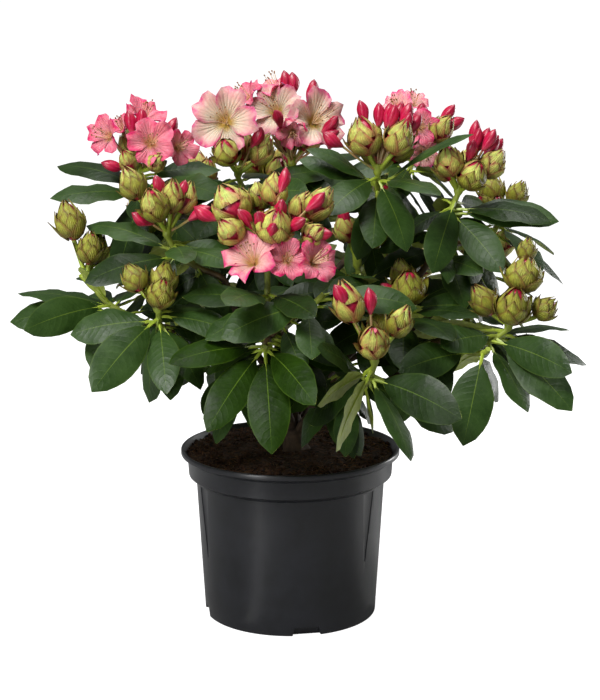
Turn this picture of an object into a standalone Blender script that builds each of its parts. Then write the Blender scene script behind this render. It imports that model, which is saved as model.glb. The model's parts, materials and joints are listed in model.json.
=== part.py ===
"""A large-leaved rhododendron in bud and bloom, in a round black nursery pot.

Metres, +Z up. The origin is the middle of the pot's underside and the shrub's fullest face looks to -Y.
The pot and the soil in it are turned solids. A short stem rises from the soil and forks into boughs. Each
bough carries one mass: twigs that end in shoots, and on each shoot a whorl of leaves below its truss of buds
or blossom, all fused into one solid.
"""

import math
import random

import bmesh
import bpy
from mathutils import Matrix, Vector
from mathutils.bvhtree import BVHTree

# Pot
POT_HEIGHT = 0.178
LIP_RADIUS = 0.115
LIP_DEPTH = 0.0055
BAND_RADIUS = 0.1084
BAND_DEPTH = 0.028
BAND_TAPER = 0.0014
BODY_TOP_RADIUS = 0.0991
BASE_RADIUS = 0.0906
WALL = 0.0022
FLOOR = 0.004
POT_SIDES = 30
NOTCH_WIDTH = 0.035
NOTCH_HEIGHT = 0.0105
NOTCH_DEPTH = 0.007
FLUTE_WIDTH = 0.018
FLUTE_LENGTH = 0.075
FLUTE_DEPTH = 0.0012
NOTCH_HEADINGS = (11, 101, 191, 281)
FLUTE_HEADINGS = (85, 205, 325)

# Stem and boughs
SOIL_LEVEL = 0.1735
STEM_TOP = 0.222
STEM_RADIUS = 0.0095
FLARE_RADIUS = 0.0165
GAP = 0.0003
CLEAR = 0.0006
BOUGH_SIDES = 6
TWIG_SIDES = 4
BOUGH_STEPS = 5
TWIG_STEPS = 4
TWIG_RADIUS = 0.0032

# Leaves
LEAF_LENGTH = 0.09
LEAF_WIDTH = 0.41
LEAF_THICKNESS = 0.0013
LEAF_ARCH = 0.045
PETIOLE = 0.16
WHORL = 8
WHORL_DEPTH = 0.024
LEAF_TILT = 0.75
BACK_AXIS = 0.07
HUB_RADIUS = 0.0075
LEAST_REACH = 56

SEED = 20

# The crown's space: no leaf that a rule places leaves this ellipsoid.
CROWN_MIDDLE = Vector((0.010, 0.010, 0.345))
CROWN_REACH = Vector((0.300, 0.290, 0.175))

# Boughs: parent, how far along it, tip, radii at the foot and at the tip.
BOUGHS = {
    "bough_centre": ("trunk", 0.85, (-0.012, 0.020, 0.365), 0.0068, 0.0042),
    "bough_front": ("trunk", 0.50, (-0.018, -0.105, 0.292), 0.0048, 0.0038),
    "bough_left_low": ("trunk", 0.55, (-0.085, -0.042, 0.288), 0.0048, 0.0038),
    "bough_right_low": ("trunk", 0.48, (0.135, -0.092, 0.299), 0.0050, 0.0038),
    "bough_right": ("trunk", 0.72, (0.125, -0.010, 0.352), 0.0048, 0.0038),
    "bough_back_left": ("trunk", 0.50, (-0.085, 0.105, 0.305), 0.0048, 0.0038),
    "bough_back_right": ("trunk", 0.55, (0.092, 0.095, 0.302), 0.0048, 0.0038),
    "bough_left_mid": ("bough_front", 0.55, (-0.058, -0.078, 0.350), 0.0038, 0.0034),
    "bough_front_right": ("bough_front", 0.40, (0.045, -0.125, 0.262), 0.0038, 0.0034),
    "bough_left_inner": ("bough_left_low", 0.40, (-0.050, -0.066, 0.262), 0.0036, 0.0032),
    "bough_upper_left": ("bough_centre", 0.40, (-0.098, 0.028, 0.385), 0.0042, 0.0034),
    "bough_upper_right": ("bough_centre", 0.60, (0.078, 0.018, 0.400), 0.0042, 0.0034),
    "bough_low": ("trunk", 0.40, (0.042, -0.056, 0.258), 0.0036, 0.0032),
    "bough_mid_right": ("bough_right", 0.45, (0.078, -0.040, 0.305), 0.0038, 0.0032),
    "bough_back": ("bough_back_left", 0.30, (0.002, 0.110, 0.320), 0.0040, 0.0034),
    "bough_back_far_left": ("bough_back_left", 0.55, (-0.105, 0.062, 0.290), 0.0036, 0.0032),
    "bough_back_far_right": ("bough_back_right", 0.55, (0.140, 0.055, 0.300), 0.0036, 0.0032),
}

# Shoots: bough, tip, lean of the tip as (heading, degrees off upright), length in mm of bare neck above the
# whorl, leaves as (heading, droop, length in mm, roll), truss pieces, and how many more buds a rule adds.
# A truss piece is E, a scaly bud (heading, degrees off upright, reach, width, length), P, a coloured bud
# (heading, degrees off upright, reach), or F, an open flower (heading, degrees off upright, reach, width, and
# the heading and degrees off upright that it faces).
SHOOTS = {
    "far_left": ("bough_left_low", (-0.184, -0.050, 0.341), (180, 40), 32,
        ((215, 10, 95, -54), (262, 35, 88, -34), (172, 12, 105, -4), (165, -4, 98, 23), (230, -47, 60),
         (70, -3, 70)),
        (("E", 180, 15, 62, 29, 42), ("E", 315, 10, 33, 24, 36)), 1),
    "left_low": ("bough_left_low", (-0.127, -0.130, 0.347), (240, 20), 6,
        ((229, 35, 108, -32), (280, 47, 88, -2), (120, 72, 102, 20), (309, 47, 88, -26)),
        (("E", 325, 20, 15, 26, 32), ("E", 165, 40, 36, 24, 30)), 1),
    "left_inner": ("bough_left_inner", (-0.077, -0.080, 0.292), (220, 25), 0,
        ((265, 45, 70), (200, 15, 60)), (), 0),
    "left_mid": ("bough_left_mid", (-0.120, -0.080, 0.412), (230, 12), 6,
        ((158, -6, 98, 23), (237, 46, 74), (322, 12, 85, -20), (50, 19, 85, -47)),
        (("E", 180, 35, 59, 26, 36), ("E", 245, 40, 40, 28, 38), ("E", 305, 15, 38, 24, 36),
         ("E", 20, 30, 39, 24, 34), ("P", 230, 15, 50), ("P", 5, 20, 45), ("P", 355, 60, 41),
         ("P", 210, 60, 34)), 1),
    "top_left": ("bough_upper_left", (-0.155, 0.020, 0.462), (170, 8), 4,
        ((155, -5, 100, 22), (41, 6, 97), (323, 5, 105), (203, 11, 98, -8), (221, 73, 110, -26)),
        (("F", 195, 45, 56, 36, 230, 72), ("F", 155, 25, 54, 26, 240, 35), ("F", 65, 15, 65, 38, 300, 35),
         ("F", 300, 40, 45, 42, 275, 75), ("F", 350, 60, 53, 32, 295, 80), ("P", 180, 10, 54),
         ("P", 310, 5, 56), ("P", 0, 35, 58), ("P", 200, 75, 32), ("E", 230, 50, 21, 20, 26),
         ("E", 315, 65, 30, 20, 24)), 2),
    "back_top_left": ("bough_upper_left", (-0.098, 0.105, 0.425), (120, 14), 4, (), (), 3),
    "top_centre_left": ("bough_centre", (-0.053, 0.000, 0.462), (265, 10), 4,
        ((127, 10, 90), (20, -3, 101)),
        (("F", 245, 30, 67, 66, 265, 78), ("E", 250, 50, 41, 28, 32), ("P", 315, 35, 51)), 3),
    "top_centre": ("bough_centre", (0.002, 0.050, 0.466), (60, 0), 4, (),
        (("F", 225, 25, 69, 50, 255, 65), ("F", 310, 35, 63, 50, 290, 70), ("F", 270, 45, 48, 28, 270, 100),
         ("F", 155, 15, 88, 36, 200, 25), ("F", 180, 35, 92, 34, 210, 50), ("P", 250, 40, 69),
         ("P", 345, 15, 82), ("P", 180, 5, 88), ("P", 0, 0, 86), ("P", 335, 55, 55), ("P", 335, 45, 64)), 3),
    "top_right": ("bough_upper_right", (0.088, -0.040, 0.469), (280, 6), 4,
        ((264, 44, 90), (298, 51, 89), (309, 5, 91), (235, 17, 95), (146, -4, 90, 26), (344, -27, 105, -23)),
        (("E", 210, 25, 40, 34, 41), ("E", 325, 35, 44, 28, 39), ("P", 180, 15, 64), ("P", 85, 5, 59),
         ("P", 5, 10, 60), ("P", 15, 20, 64), ("P", 350, 25, 67)), 2),
    "top_back": ("bough_upper_right", (0.130, 0.090, 0.472), (60, 8), 4, (),
        (("F", 195, 20, 59, 30, 240, 50), ("F", 85, 5, 60, 30, 280, 30), ("F", 285, 40, 42, 34, 270, 80),
         ("F", 295, 90, 28, 28, 280, 110), ("P", 310, 15, 48), ("E", 332, 50, 45, 26, 34), ("P", 0, 40, 59),
         ("P", 0, 55, 57)), 3),
    "right": ("bough_right", (0.169, -0.030, 0.448), (350, 12), 4,
        ((240, 53, 90), (309, 46, 95, 43), (351, 11, 104, 10), (348, 24, 98, -1)),
        (("E", 235, 30, 38, 28, 35), ("E", 305, 50, 30, 31, 34), ("E", 350, 50, 45, 26, 34),
         ("P", 20, 15, 64), ("P", 0, 25, 61), ("P", 0, 35, 59), ("P", 300, 25, 50)), 2),
    "right_back": ("bough_right", (0.222, 0.060, 0.407), (30, 20), 4, ((344, 39, 94, 1),),
        (("E", 210, 55, 26, 22, 30), ("E", 250, 40, 18, 22, 30), ("E", 15, 35, 32, 22, 30)), 1),
    "right_low": ("bough_right_low", (0.216, -0.080, 0.319), (10, 25), 6,
        ((159, 6, 100, 69), (226, 15, 88), (286, 47, 93, -20), (311, 36, 110, 26), (307, 16, 96, 53),
         (16, 23, 98, -14), (31, 4, 90, -38)),
        (("E", 280, 35, 28, 34, 42), ("E", 0, 15, 53, 36, 38), ("E", 0, 65, 40, 24, 28),
         ("E", 30, 15, 77, 18, 26)), 1),
    "right_under": ("bough_right_low", (0.193, -0.120, 0.306), (300, 40), 0,
        ((250, 44, 105), (65, 49, 80)), (), 0),
    "front_right": ("bough_front_right", (0.081, -0.170, 0.303), (250, 6), 8,
        ((227, 16, 85, 92), (236, 42, 100, 101), (319, 19, 106, 40), (21, 39, 113), (302, 38, 108, -41),
         (73, 50, 94), (95, 53, 100), (129, 50, 104), (225, -10, 72)),
        (("E", 190, 25, 61, 29, 44), ("E", 265, 45, 28, 28, 38), ("E", 0, 35, 43, 24, 34), ("P", 205, 30, 75),
         ("P", 175, 5, 58)), 1),
    "mid_right": ("bough_mid_right", (0.119, -0.060, 0.338), (320, 8), 4,
        ((58, -8, 90), (150, 6, 88)),
        (("E", 265, 30, 22, 34, 39), ("P", 205, 55, 30)), 1),
    "inner_right": ("bough_mid_right", (0.069, -0.030, 0.373), (240, 10), 10,
        ((218, -2, 90), (68, 38, 80)),
        (("E", 195, 20, 35, 24, 34), ("P", 205, 20, 49)), 1),
    "low_right": ("bough_low", (0.058, -0.084, 0.284), (310, 35), 0,
        ((204, 56, 94, 35), (262, 70, 80, -40), (216, 31, 95, 18)), (), 0),
    "centre": ("bough_front", (-0.021, -0.140, 0.371), (90, 0), 40,
        ((170, 5, 85),),
        (("E", 170, 40, 55, 38, 42), ("E", 70, 20, 58, 26, 34), ("E", 110, 30, 54, 22, 30),
         ("E", 10, 50, 66, 27, 38), ("E", 30, 45, 54, 24, 32), ("E", 290, 40, 34, 36, 36),
         ("E", 203, 62, 43, 27, 30), ("E", 340, 70, 50, 22, 24), ("P", 300, 30, 49), ("P", 280, 55, 43),
         ("P", 320, 55, 48), ("P", 200, 40, 65), ("P", 215, 40, 43), ("P", 255, 40, 42), ("P", 355, 45, 68),
         ("P", 30, 15, 70), ("P", 345, 75, 57), ("P", 180, 60, 71), ("F", 240, 90, 36, 50, 255, 75),
         ("F", 300, 95, 40, 34, 275, 72), ("F", 330, 95, 57, 38, 350, 85)), 0),
    "centre_low": ("bough_front", (-0.024, -0.160, 0.316), (270, 30), 0,
        ((277, 53, 105), (234, 40, 100, -19), (300, 19, 95, 24), (200, 3, 95)), (), 0),
    "centre_side": ("bough_front", (0.030, -0.152, 0.366), (20, 50), 0,
        ((201, 17, 105), (48, -6, 72), (300, 30, 85), (260, 45, 70)), (), 0),
    "back_left": ("bough_back_left", (-0.150, 0.130, 0.385), (140, 18), 4, (), (), 3),
    "back_low_left": ("bough_back_left", (-0.105, 0.195, 0.325), (115, 28), 4, (), (), 3),
    "back": ("bough_back", (-0.022, 0.125, 0.432), (90, 6), 4, (), (), 4),
    "back_low": ("bough_back", (0.020, 0.200, 0.362), (80, 20), 4, (), (), 3),
    "back_right": ("bough_back_right", (0.078, 0.158, 0.402), (60, 12), 4, (), (), 3),
    "back_low_right": ("bough_back_right", (0.132, 0.200, 0.318), (55, 28), 0, (), (), 3),
    "back_far_left": ("bough_back_far_left", (-0.165, 0.072, 0.345), (160, 25), 0, (), (), 0),
    "back_far_right": ("bough_back_far_right", (0.215, 0.125, 0.345), (30, 25), 4, (), (), 2),
    "right_deep": ("bough_back_far_right", (0.200, 0.035, 0.300), (0, 30), 0, (), (), 0),
}

MATERIALS = {
    "pot_black": ((0.018, 0.018, 0.019), 0.38),
    "peat": ((0.022, 0.012, 0.006), 0.95),
    "bark": ((0.110, 0.062, 0.035), 0.85),
    "foliage": ((0.045, 0.085, 0.030), 0.45),
}


def remove_everything():
    for thing in list(bpy.data.objects):
        bpy.data.objects.remove(thing)


def material(name):
    made = bpy.data.materials.get(name)
    if made is None:
        colour, roughness = MATERIALS[name]
        made = bpy.data.materials.new(name)
        made.use_nodes = True
        shader = made.node_tree.nodes["Principled BSDF"]
        shader.inputs["Base Color"].default_value = (*colour, 1)
        shader.inputs["Roughness"].default_value = roughness
        shader.inputs["Metallic"].default_value = 0
        made.diffuse_color = (*colour, 1)
    return made


def add_object(name, solid, slot=None, home=None):
    points, faces = solid
    mesh = bpy.data.meshes.new(name)
    mesh.from_pydata([tuple(p) for p in points], [], faces)
    made = bpy.data.objects.new(name, mesh)
    (home or bpy.context.scene.collection).objects.link(made)
    if slot:
        mesh.materials.append(material(slot))
    return made


def aim(heading, off_upright):
    """The unit vector with this heading, 0 along +X and 90 along +Y, and this angle off upright."""
    h = math.radians(heading)
    o = math.radians(off_upright)
    return Vector((math.sin(o) * math.cos(h), math.sin(o) * math.sin(h), math.cos(o)))


# Turned solids ------------------------------------------------------------------------------------


def turned(profile, sides, wave=None):
    """A solid of revolution from (radius, height) points that start and end on the axis."""
    points = [Vector((0, 0, profile[0][1])), Vector((0, 0, profile[-1][1]))]
    rings = profile[1:-1]
    for k, (radius, height) in enumerate(rings):
        for i in range(sides):
            turn = 2 * math.pi * i / sides
            lift = wave(k, i) if wave else 0
            points.append(Vector((radius * math.cos(turn), radius * math.sin(turn), height + lift)))
    faces = []
    last = 2 + (len(rings) - 1) * sides
    for i in range(sides):
        j = (i + 1) % sides
        faces.append((0, 2 + j, 2 + i))
        faces.append((1, last + i, last + j))
        for k in range(len(rings) - 1):
            a = 2 + k * sides
            faces.append((a + i, a + j, a + sides + j, a + sides + i))
    return points, faces


def pot_profile():
    """(outer, inner) outlines of the pot from the axis outwards, and from the lip back to the axis."""
    band = POT_HEIGHT - BAND_DEPTH
    lip = POT_HEIGHT - LIP_DEPTH
    outer = [
        (0, 0),
        (BASE_RADIUS - 0.0008, 0),
        (BASE_RADIUS, 0.0012),
        (BODY_TOP_RADIUS, band - 0.0048),
        (BAND_RADIUS - BAND_TAPER, band),
        (BAND_RADIUS, lip - 0.004),
        (LIP_RADIUS, lip),
        (LIP_RADIUS, POT_HEIGHT - 0.0008),
        (LIP_RADIUS - 0.0028, POT_HEIGHT),
    ]
    inner = [
        (BAND_RADIUS - WALL, lip - 0.001),
        (BAND_RADIUS - BAND_TAPER - WALL - 0.0006, band + 0.004),
        (BODY_TOP_RADIUS - WALL, band - 0.0015),
        (BASE_RADIUS - WALL + 0.0008, 0.0155),
        (BASE_RADIUS - 0.018, FLOOR),
        (0, FLOOR),
    ]
    return outer, inner


def notch_cutter(heading):
    """A tapered block that cuts one drain notch out of the pot's foot."""
    far = BASE_RADIUS + 0.01
    near = BASE_RADIUS - NOTCH_DEPTH
    low = NOTCH_WIDTH / 2
    high = low * 0.72
    points = []
    for x, top in ((near, NOTCH_HEIGHT * 0.75), (far, NOTCH_HEIGHT * 1.05)):
        points += [(x, -low, -0.01), (x, low, -0.01), (x, high, top), (x, -high, top)]
    faces = [(0, 3, 2, 1), (4, 5, 6, 7), (0, 1, 5, 4), (1, 2, 6, 5), (2, 3, 7, 6), (3, 0, 4, 7)]
    turn = Matrix.Rotation(math.radians(heading), 3, "Z")
    return [turn @ Vector(p) for p in points], faces


def flute_cutter(heading):
    """A long wedge with its point down that cuts one shallow flute into the pot's body below the band."""
    top = POT_HEIGHT - BAND_DEPTH - 0.0065
    foot = top - FLUTE_LENGTH
    slope = (BODY_TOP_RADIUS - BASE_RADIUS) / (POT_HEIGHT - BAND_DEPTH)
    half = FLUTE_WIDTH / 2
    points = []
    for out in (-FLUTE_DEPTH, 0.006):
        for y, z in ((-half, top), (half, top), (0, foot)):
            points.append((BODY_TOP_RADIUS - slope * (top - z) + out, y, z))
    faces = [(0, 1, 2), (3, 5, 4), (0, 3, 4, 1), (1, 4, 5, 2), (2, 5, 3, 0)]
    turn = Matrix.Rotation(math.radians(heading), 3, "Z")
    return [turn @ Vector(p) for p in points], faces


def faceted(solid):
    """The same solid in triangles, which lie flat, with every one turned to point out."""
    points, faces = solid
    work = bmesh.new()
    corners = [work.verts.new(p) for p in points]
    for face in faces:
        work.faces.new([corners[i] for i in face])
    bmesh.ops.triangulate(work, faces=work.faces[:])
    bmesh.ops.recalc_face_normals(work, faces=work.faces[:])
    work.verts.index_update()
    turned_out = [tuple(v.index for v in f.verts) for f in work.faces]
    work.free()
    return points, turned_out


def settle(made, operation, others):
    """Joins or cuts one object with others in a single applied Boolean, then removes the others."""
    home = bpy.data.collections.new("working")
    bpy.context.scene.collection.children.link(home)
    for k, solid in enumerate(others):
        add_object("working_%d" % k, faceted(solid), home=home)
    step = made.modifiers.new("settle", "BOOLEAN")
    step.operation = operation
    step.solver = "EXACT"
    step.operand_type = "COLLECTION"
    step.collection = home
    graph = bpy.context.evaluated_depsgraph_get()
    result = bpy.data.meshes.new_from_object(made.evaluated_get(graph))
    made.modifiers.remove(step)
    made.data = result
    for thing in list(home.objects):
        bpy.data.objects.remove(thing)
    bpy.data.collections.remove(home)


def tidy_body(made):
    """Keeps the largest closed shell of a joined mesh, so that no scrap or sealed hollow is left."""
    work = bmesh.new()
    work.from_mesh(made.data)
    bmesh.ops.triangulate(work, faces=work.faces[:])
    unseen = set(work.faces)
    shells = []
    while unseen:
        todo = [unseen.pop()]
        shell = set(todo)
        while todo:
            for edge in todo.pop().edges:
                for face in edge.link_faces:
                    if face in unseen:
                        unseen.discard(face)
                        shell.add(face)
                        todo.append(face)
        shells.append(shell)
    largest = max(shells, key=len)
    bmesh.ops.delete(work, geom=[f for f in work.faces if f not in largest], context="FACES")
    work.to_mesh(made.data)
    work.free()


def make_pot():
    outer, inner = pot_profile()
    pot = add_object("pot", faceted(turned(outer + inner, POT_SIDES)), "pot_black")
    cutters = [notch_cutter(h) for h in NOTCH_HEADINGS] + [flute_cutter(h) for h in FLUTE_HEADINGS]
    settle(pot, "DIFFERENCE", cutters)
    tidy_body(pot)
    pot.data.shade_smooth()
    pot.data.set_sharp_from_angle(angle=math.radians(30))


def make_soil():
    """The peat that fills the pot, GAP clear of its wall, with an uneven top that is level round the stem."""
    _, inner = pot_profile()
    rng = random.Random(SEED)
    filled = [(max(0, r - GAP), z + (GAP if r < 0.08 else 0)) for r, z in reversed(inner)]
    brim = BAND_RADIUS - WALL
    profile = filled[:-1] + [
        (brim - GAP, POT_HEIGHT - LIP_DEPTH - 0.001),
        (brim * 0.86, SOIL_LEVEL - 0.002),
        (brim * 0.55, SOIL_LEVEL - 0.001),
        (FLARE_RADIUS * 1.4, SOIL_LEVEL),
        (0, SOIL_LEVEL),
    ]
    uneven = (len(filled) - 1, len(filled))

    def wave(k, i):
        return rng.uniform(-0.0014, 0.0014) if k in uneven else 0

    add_object("soil", faceted(turned(profile, POT_SIDES // 2, wave)), "peat")


# Limbs --------------------------------------------------------------------------------------------


def rings_along(path, radii, sides, spin=0.0):
    """Rings of points square to a path, without twist, and the faces between them."""
    points = []
    faces = []
    side = (path[1] - path[0]).orthogonal().normalized()
    for k, at in enumerate(path):
        ahead = (path[min(k + 1, len(path) - 1)] - path[max(k - 1, 0)]).normalized()
        side = (side - ahead * side.dot(ahead)).normalized()
        across = ahead.cross(side)
        for i in range(sides):
            turn = 2 * math.pi * i / sides + spin
            points.append(at + (side * math.cos(turn) + across * math.sin(turn)) * radii[k])
            if k:
                a, j = (k - 1) * sides, (i + 1) % sides
                faces.append((a + i, a + j, a + sides + j, a + sides + i))
    return points, faces


def tube(path, radii, sides, spin=0.0):
    """A closed tube along a path, a flat cap at each end."""
    points, faces = rings_along(path, radii, sides, spin)
    last = len(points) - sides
    caps = [tuple(range(sides - 1, -1, -1)), tuple(range(last, last + sides))]
    return points, faces + caps


def bend(start, leaving, end, arriving, count):
    """A smooth path between two points with a direction at each."""
    span = (end - start).length
    first = start + leaving * span * 0.36
    second = end - arriving * span * 0.36
    path = []
    for k in range(count + 1):
        t = k / count
        u = 1 - t
        path.append(start * u**3 + first * 3 * u * u * t + second * 3 * u * t * t + end * t**3)
    return path


def along(path, share):
    """The point at this share of a path, and the path's direction there."""
    spot = share * (len(path) - 1)
    k = min(int(spot), len(path) - 2)
    step = path[k + 1] - path[k]
    return path[k] + step * (spot - k), step.normalized()


def down_path(path, distance):
    """The point this far along a path from its start."""
    for here, there in zip(path, path[1:]):
        step = (there - here).length
        if distance <= step:
            break
        distance -= step
    return here + (there - here) * (distance / step)


def stem_path():
    foot = SOIL_LEVEL + GAP
    path = []
    for share in (0, 0.12, 0.35, 0.7, 1.0):
        path.append(Vector((0.006 * (1 - share), 0.003 * (1 - share), foot + (STEM_TOP - foot) * share)))
    return path


def trunk_rings(path, swell=0.0):
    """The short stem's level rings: a flare with five roots below, and round above."""
    sides = 15
    points = []
    spreads = (FLARE_RADIUS, FLARE_RADIUS * 0.82, 0.0116, STEM_RADIUS * 1.04, STEM_RADIUS)
    for at, spread, lobe in zip(path, spreads, (0.16, 0.10, 0.03, 0, 0)):
        for i in range(sides):
            turn = 2 * math.pi * i / sides
            reach = spread * (1 + lobe * math.cos(5 * turn)) + swell
            points.append(at + Vector((math.cos(turn), math.sin(turn), 0)) * reach)
    faces = [tuple(range(sides - 1, -1, -1)), tuple(range(4 * sides, 5 * sides))]
    for a in range(0, 4 * sides, sides):
        for i in range(sides):
            j = (i + 1) % sides
            faces.append((a + i, a + j, a + sides + j, a + sides + i))
    return points, faces


def limb_paths():
    """Every bough's path and radii, its parent's first."""
    paths = {"trunk": (stem_path(), [0.0125, 0.0115, 0.0105, STEM_RADIUS, STEM_RADIUS])}
    for name, (parent, share, tip, foot_radius, tip_radius) in BOUGHS.items():
        tip = Vector(tip)
        start, onward = along(paths[parent][0], share)
        way = (tip - start).normalized()
        flat = Vector((way.x, way.y, 0))
        leaving = (onward * 0.4 + way * 0.8).normalized()
        arriving = (way + Vector((0, 0, 0.55)) + flat * 0.1).normalized()
        path = bend(start, leaving, tip, arriving, BOUGH_STEPS)
        radii = [foot_radius + (tip_radius - foot_radius) * k / BOUGH_STEPS for k in range(BOUGH_STEPS + 1)]
        paths[name] = (path, radii)
    return paths


def swollen(name, paths):
    """The space of a limb and GAP round it, for cutting its neighbours clear."""
    path, radii = paths[name]
    if name != "trunk":
        return tube(path, [r + GAP for r in radii], BOUGH_SIDES)
    path = path[:-1] + [path[-1] + Vector((0, 0, GAP))]
    return trunk_rings(path, GAP)


def make_bough(name, paths):
    """One tapering limb, cut GAP clear of the limb that it grows from and of the limbs already there."""
    path, radii = paths[name]
    parent = BOUGHS[name][0]
    made = add_object(name, faceted(tube(path, radii, BOUGH_SIDES)), "bark")
    earlier = list(BOUGHS)[: list(BOUGHS).index(name)]
    near = [parent] + [other for other in earlier if BOUGHS[other][0] == parent]
    settle(made, "DIFFERENCE", [swollen(other, paths) for other in near])
    tidy_body(made)
    made.data.shade_smooth()
    made.data.set_sharp_from_angle(angle=math.radians(50))


def has_truss(name):
    return bool(SHOOTS[name][5] or SHOOTS[name][6])


def twig_paths(bough, paths):
    """The twigs of one mass: the first goes on from the bough's tip, and the others branch from it."""
    path, radii = paths[bough]
    tip, onward = path[-1], (path[-1] - path[-2]).normalized()
    twigs = {}
    for name, (owner, at, (heading, lean), neck, *_rest) in SHOOTS.items():
        if owner != bough:
            continue
        rng = random.Random(name)
        whorl = Vector(at)
        facing = aim(heading, lean)
        if twigs:
            start, ahead = along(trunk_twig, 0.22)
            leaving = (ahead * 0.5 + (whorl - start).normalized()).normalized()
        else:
            start, leaving = tip + onward * GAP, onward
        arriving = (facing + (whorl - start).normalized() * 0.6).normalized()
        path = bend(start, leaving, whorl, arriving, TWIG_STEPS)
        for k in (2, 3):
            path[k] = path[k] + Vector([rng.uniform(-0.0025, 0.0025) for _ in range(3)])
        if not twigs:
            trunk_twig = path
            path[1] = path[0] + onward * (path[1] - path[0]).length
        width = radii[-1] if not twigs else TWIG_RADIUS
        spread = [width + (TWIG_RADIUS * 0.9 - width) * k / (len(path) - 1) for k in range(len(path))]
        base = whorl + facing * max(neck / 1000, 0.004)
        if has_truss(name):
            if neck > 20:
                path.append(base - facing * 0.012)
                spread.append(TWIG_RADIUS)
            path += [base - facing * 0.001, base + facing * 0.008]
            spread += [HUB_RADIUS, HUB_RADIUS * 0.6]
        else:
            path.append(base)
            spread.append(TWIG_RADIUS * 0.9)
        twigs[name] = (path, spread)
    return twigs


# Leaves, buds and flowers -------------------------------------------------------------------------


def leaf_frame(root, tip, roll):
    """The leaf's direction, upper-face normal and side. Its upper face looks up and out of the crown, and is
    then rolled about its length."""
    ahead = (tip - root).normalized()
    out = Vector((root.x * 0.45, root.y - BACK_AXIS, 0)).normalized()
    look = Vector((0, 0, 1)) + out * LEAF_TILT
    normal = (look - ahead * ahead.dot(look)).normalized()
    turn = Matrix.Rotation(math.radians(roll), 3, ahead)
    normal = turn @ normal
    return ahead, normal, ahead.cross(normal)


def leaf_solid(root, tip, width, roll, swell=0.0, blade_only=False):
    """A leaf as a flat-topped blade with a keel below, on a stalk drawn to a point inside the twig."""
    ahead, normal, side = leaf_frame(root, tip, roll)
    span = (tip - root).length
    points = [root + ahead * span * PETIOLE * 0.9 if blade_only else root - ahead * 0.0018]
    for share, half, deep in ((PETIOLE, 0.0021, 0.0026), (0.38, 0.46 * width, 0), (0.72, 0.48 * width, 0)):
        at = root + ahead * span * share + Vector((0, 0, 1)) * (4 * LEAF_ARCH * span * share * (1 - share))
        half += swell
        deep = (deep or LEAF_THICKNESS) + swell
        points += [at + side * half + normal * swell, at - side * half + normal * swell, at - normal * deep]
    points.append(tip + ahead * swell)
    faces = [(0, 1, 2), (0, 2, 3), (0, 3, 1), (7, 10, 8), (8, 10, 9), (9, 10, 7)]
    for a in (1, 4):
        for i in range(3):
            j = (i + 1) % 3
            faces.append((a + i, a + 3 + i, a + 3 + j, a + j))
    return points, faces


def spindle(stations, sides):
    """A closed body along (point, radius) stations, drawn to a point at each end."""
    points, faces = rings_along([s[0] for s in stations], [s[1] for s in stations], sides)
    last = len(points) - 2 * sides
    points = points[sides:-sides] + [stations[0][0], stations[-1][0]]
    foot = len(points) - 2
    faces = [tuple(i - sides for i in f) for f in faces[sides:-sides]]
    for i in range(sides):
        j = (i + 1) % sides
        faces.append((j, i, foot))
        faces.append((last - sides + i, last - sides + j, foot + 1))
    return points, faces


def scaly_bud(base, heading, off, reach, width, length, swell=0.0):
    """An egg-shaped bud of overlapping scales that rises from the truss's base."""
    out = aim(heading, off)
    centre = base + out * reach / 1000
    up = (out + Vector((0, 0, 0.4))).normalized()
    half = width / 2000 + swell
    stations = [(base - out * 0.003, 0)]
    low = centre - up * length / 2000
    if (low - base).length > 0.016:
        stations.append((low, half * 0.34))
    stations += [
        (centre - up * length * 0.00020, half * 0.92),
        (centre + up * length * 0.00014, half * 0.86),
        (centre + up * (length * 0.0005 + swell), 0),
    ]
    return spindle(stations, 5)


def coloured_bud(base, heading, off, reach, swell=0.0):
    """A closed flower bud: a slim stalk that swells to the bud and comes to a point."""
    out = aim(heading, off)
    tip = base + out * (reach / 1000 + 0.011 + swell)
    length = min(0.025, reach / 1000 + 0.005)
    stations = [(base - out * 0.003, 0), (tip - out * length * 0.45, 0.0054 + swell), (tip, 0)]
    if reach > 40:
        stations.insert(1, (tip - out * length, 0.0022 + swell))
    return spindle(stations, 4)


def open_flower(base, heading, off, reach, width, face_heading, face_off, swell=0.0):
    """A funnel flower: a stalk drawn to a point at the truss, a rim with five lobes and a sunken throat."""
    facing = aim(face_heading, face_off)
    centre = base + aim(heading, off) * reach / 1000
    radius = width / 2000 + swell
    side = facing.orthogonal().normalized()
    across = facing.cross(side)
    neck = centre - facing * radius * 0.85
    points = [base - (neck - base).normalized() * 0.003]
    for i in range(5):
        turn = 2 * math.pi * i / 5
        points.append(neck + (side * math.cos(turn) + across * math.sin(turn)) * 0.0038)
    for i in range(10):
        turn = 2 * math.pi * i / 10
        lobe = radius * (1.0 if i % 2 == 0 else 0.84)
        points.append(centre + (side * math.cos(turn) + across * math.sin(turn)) * lobe)
    points.append(centre - facing * radius * 0.42)
    faces = []
    for i in range(5):
        j = (i + 1) % 5
        a, b, c = 6 + 2 * i, 7 + 2 * i, 6 + (2 * i + 2) % 10
        faces += [(0, 1 + j, 1 + i), (1 + i, b, a), (1 + i, 1 + j, b), (1 + j, c, b), (a, b, 16), (b, c, 16)]
    return points, faces


def truss_solid(base, piece, swell=0.0):
    kind, *sizes = piece
    maker = {"E": scaly_bud, "P": coloured_bud, "F": open_flower}[kind]
    return maker(base, *sizes, swell=swell)


# What already stands, and what may be added to it -------------------------------------------------


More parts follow.
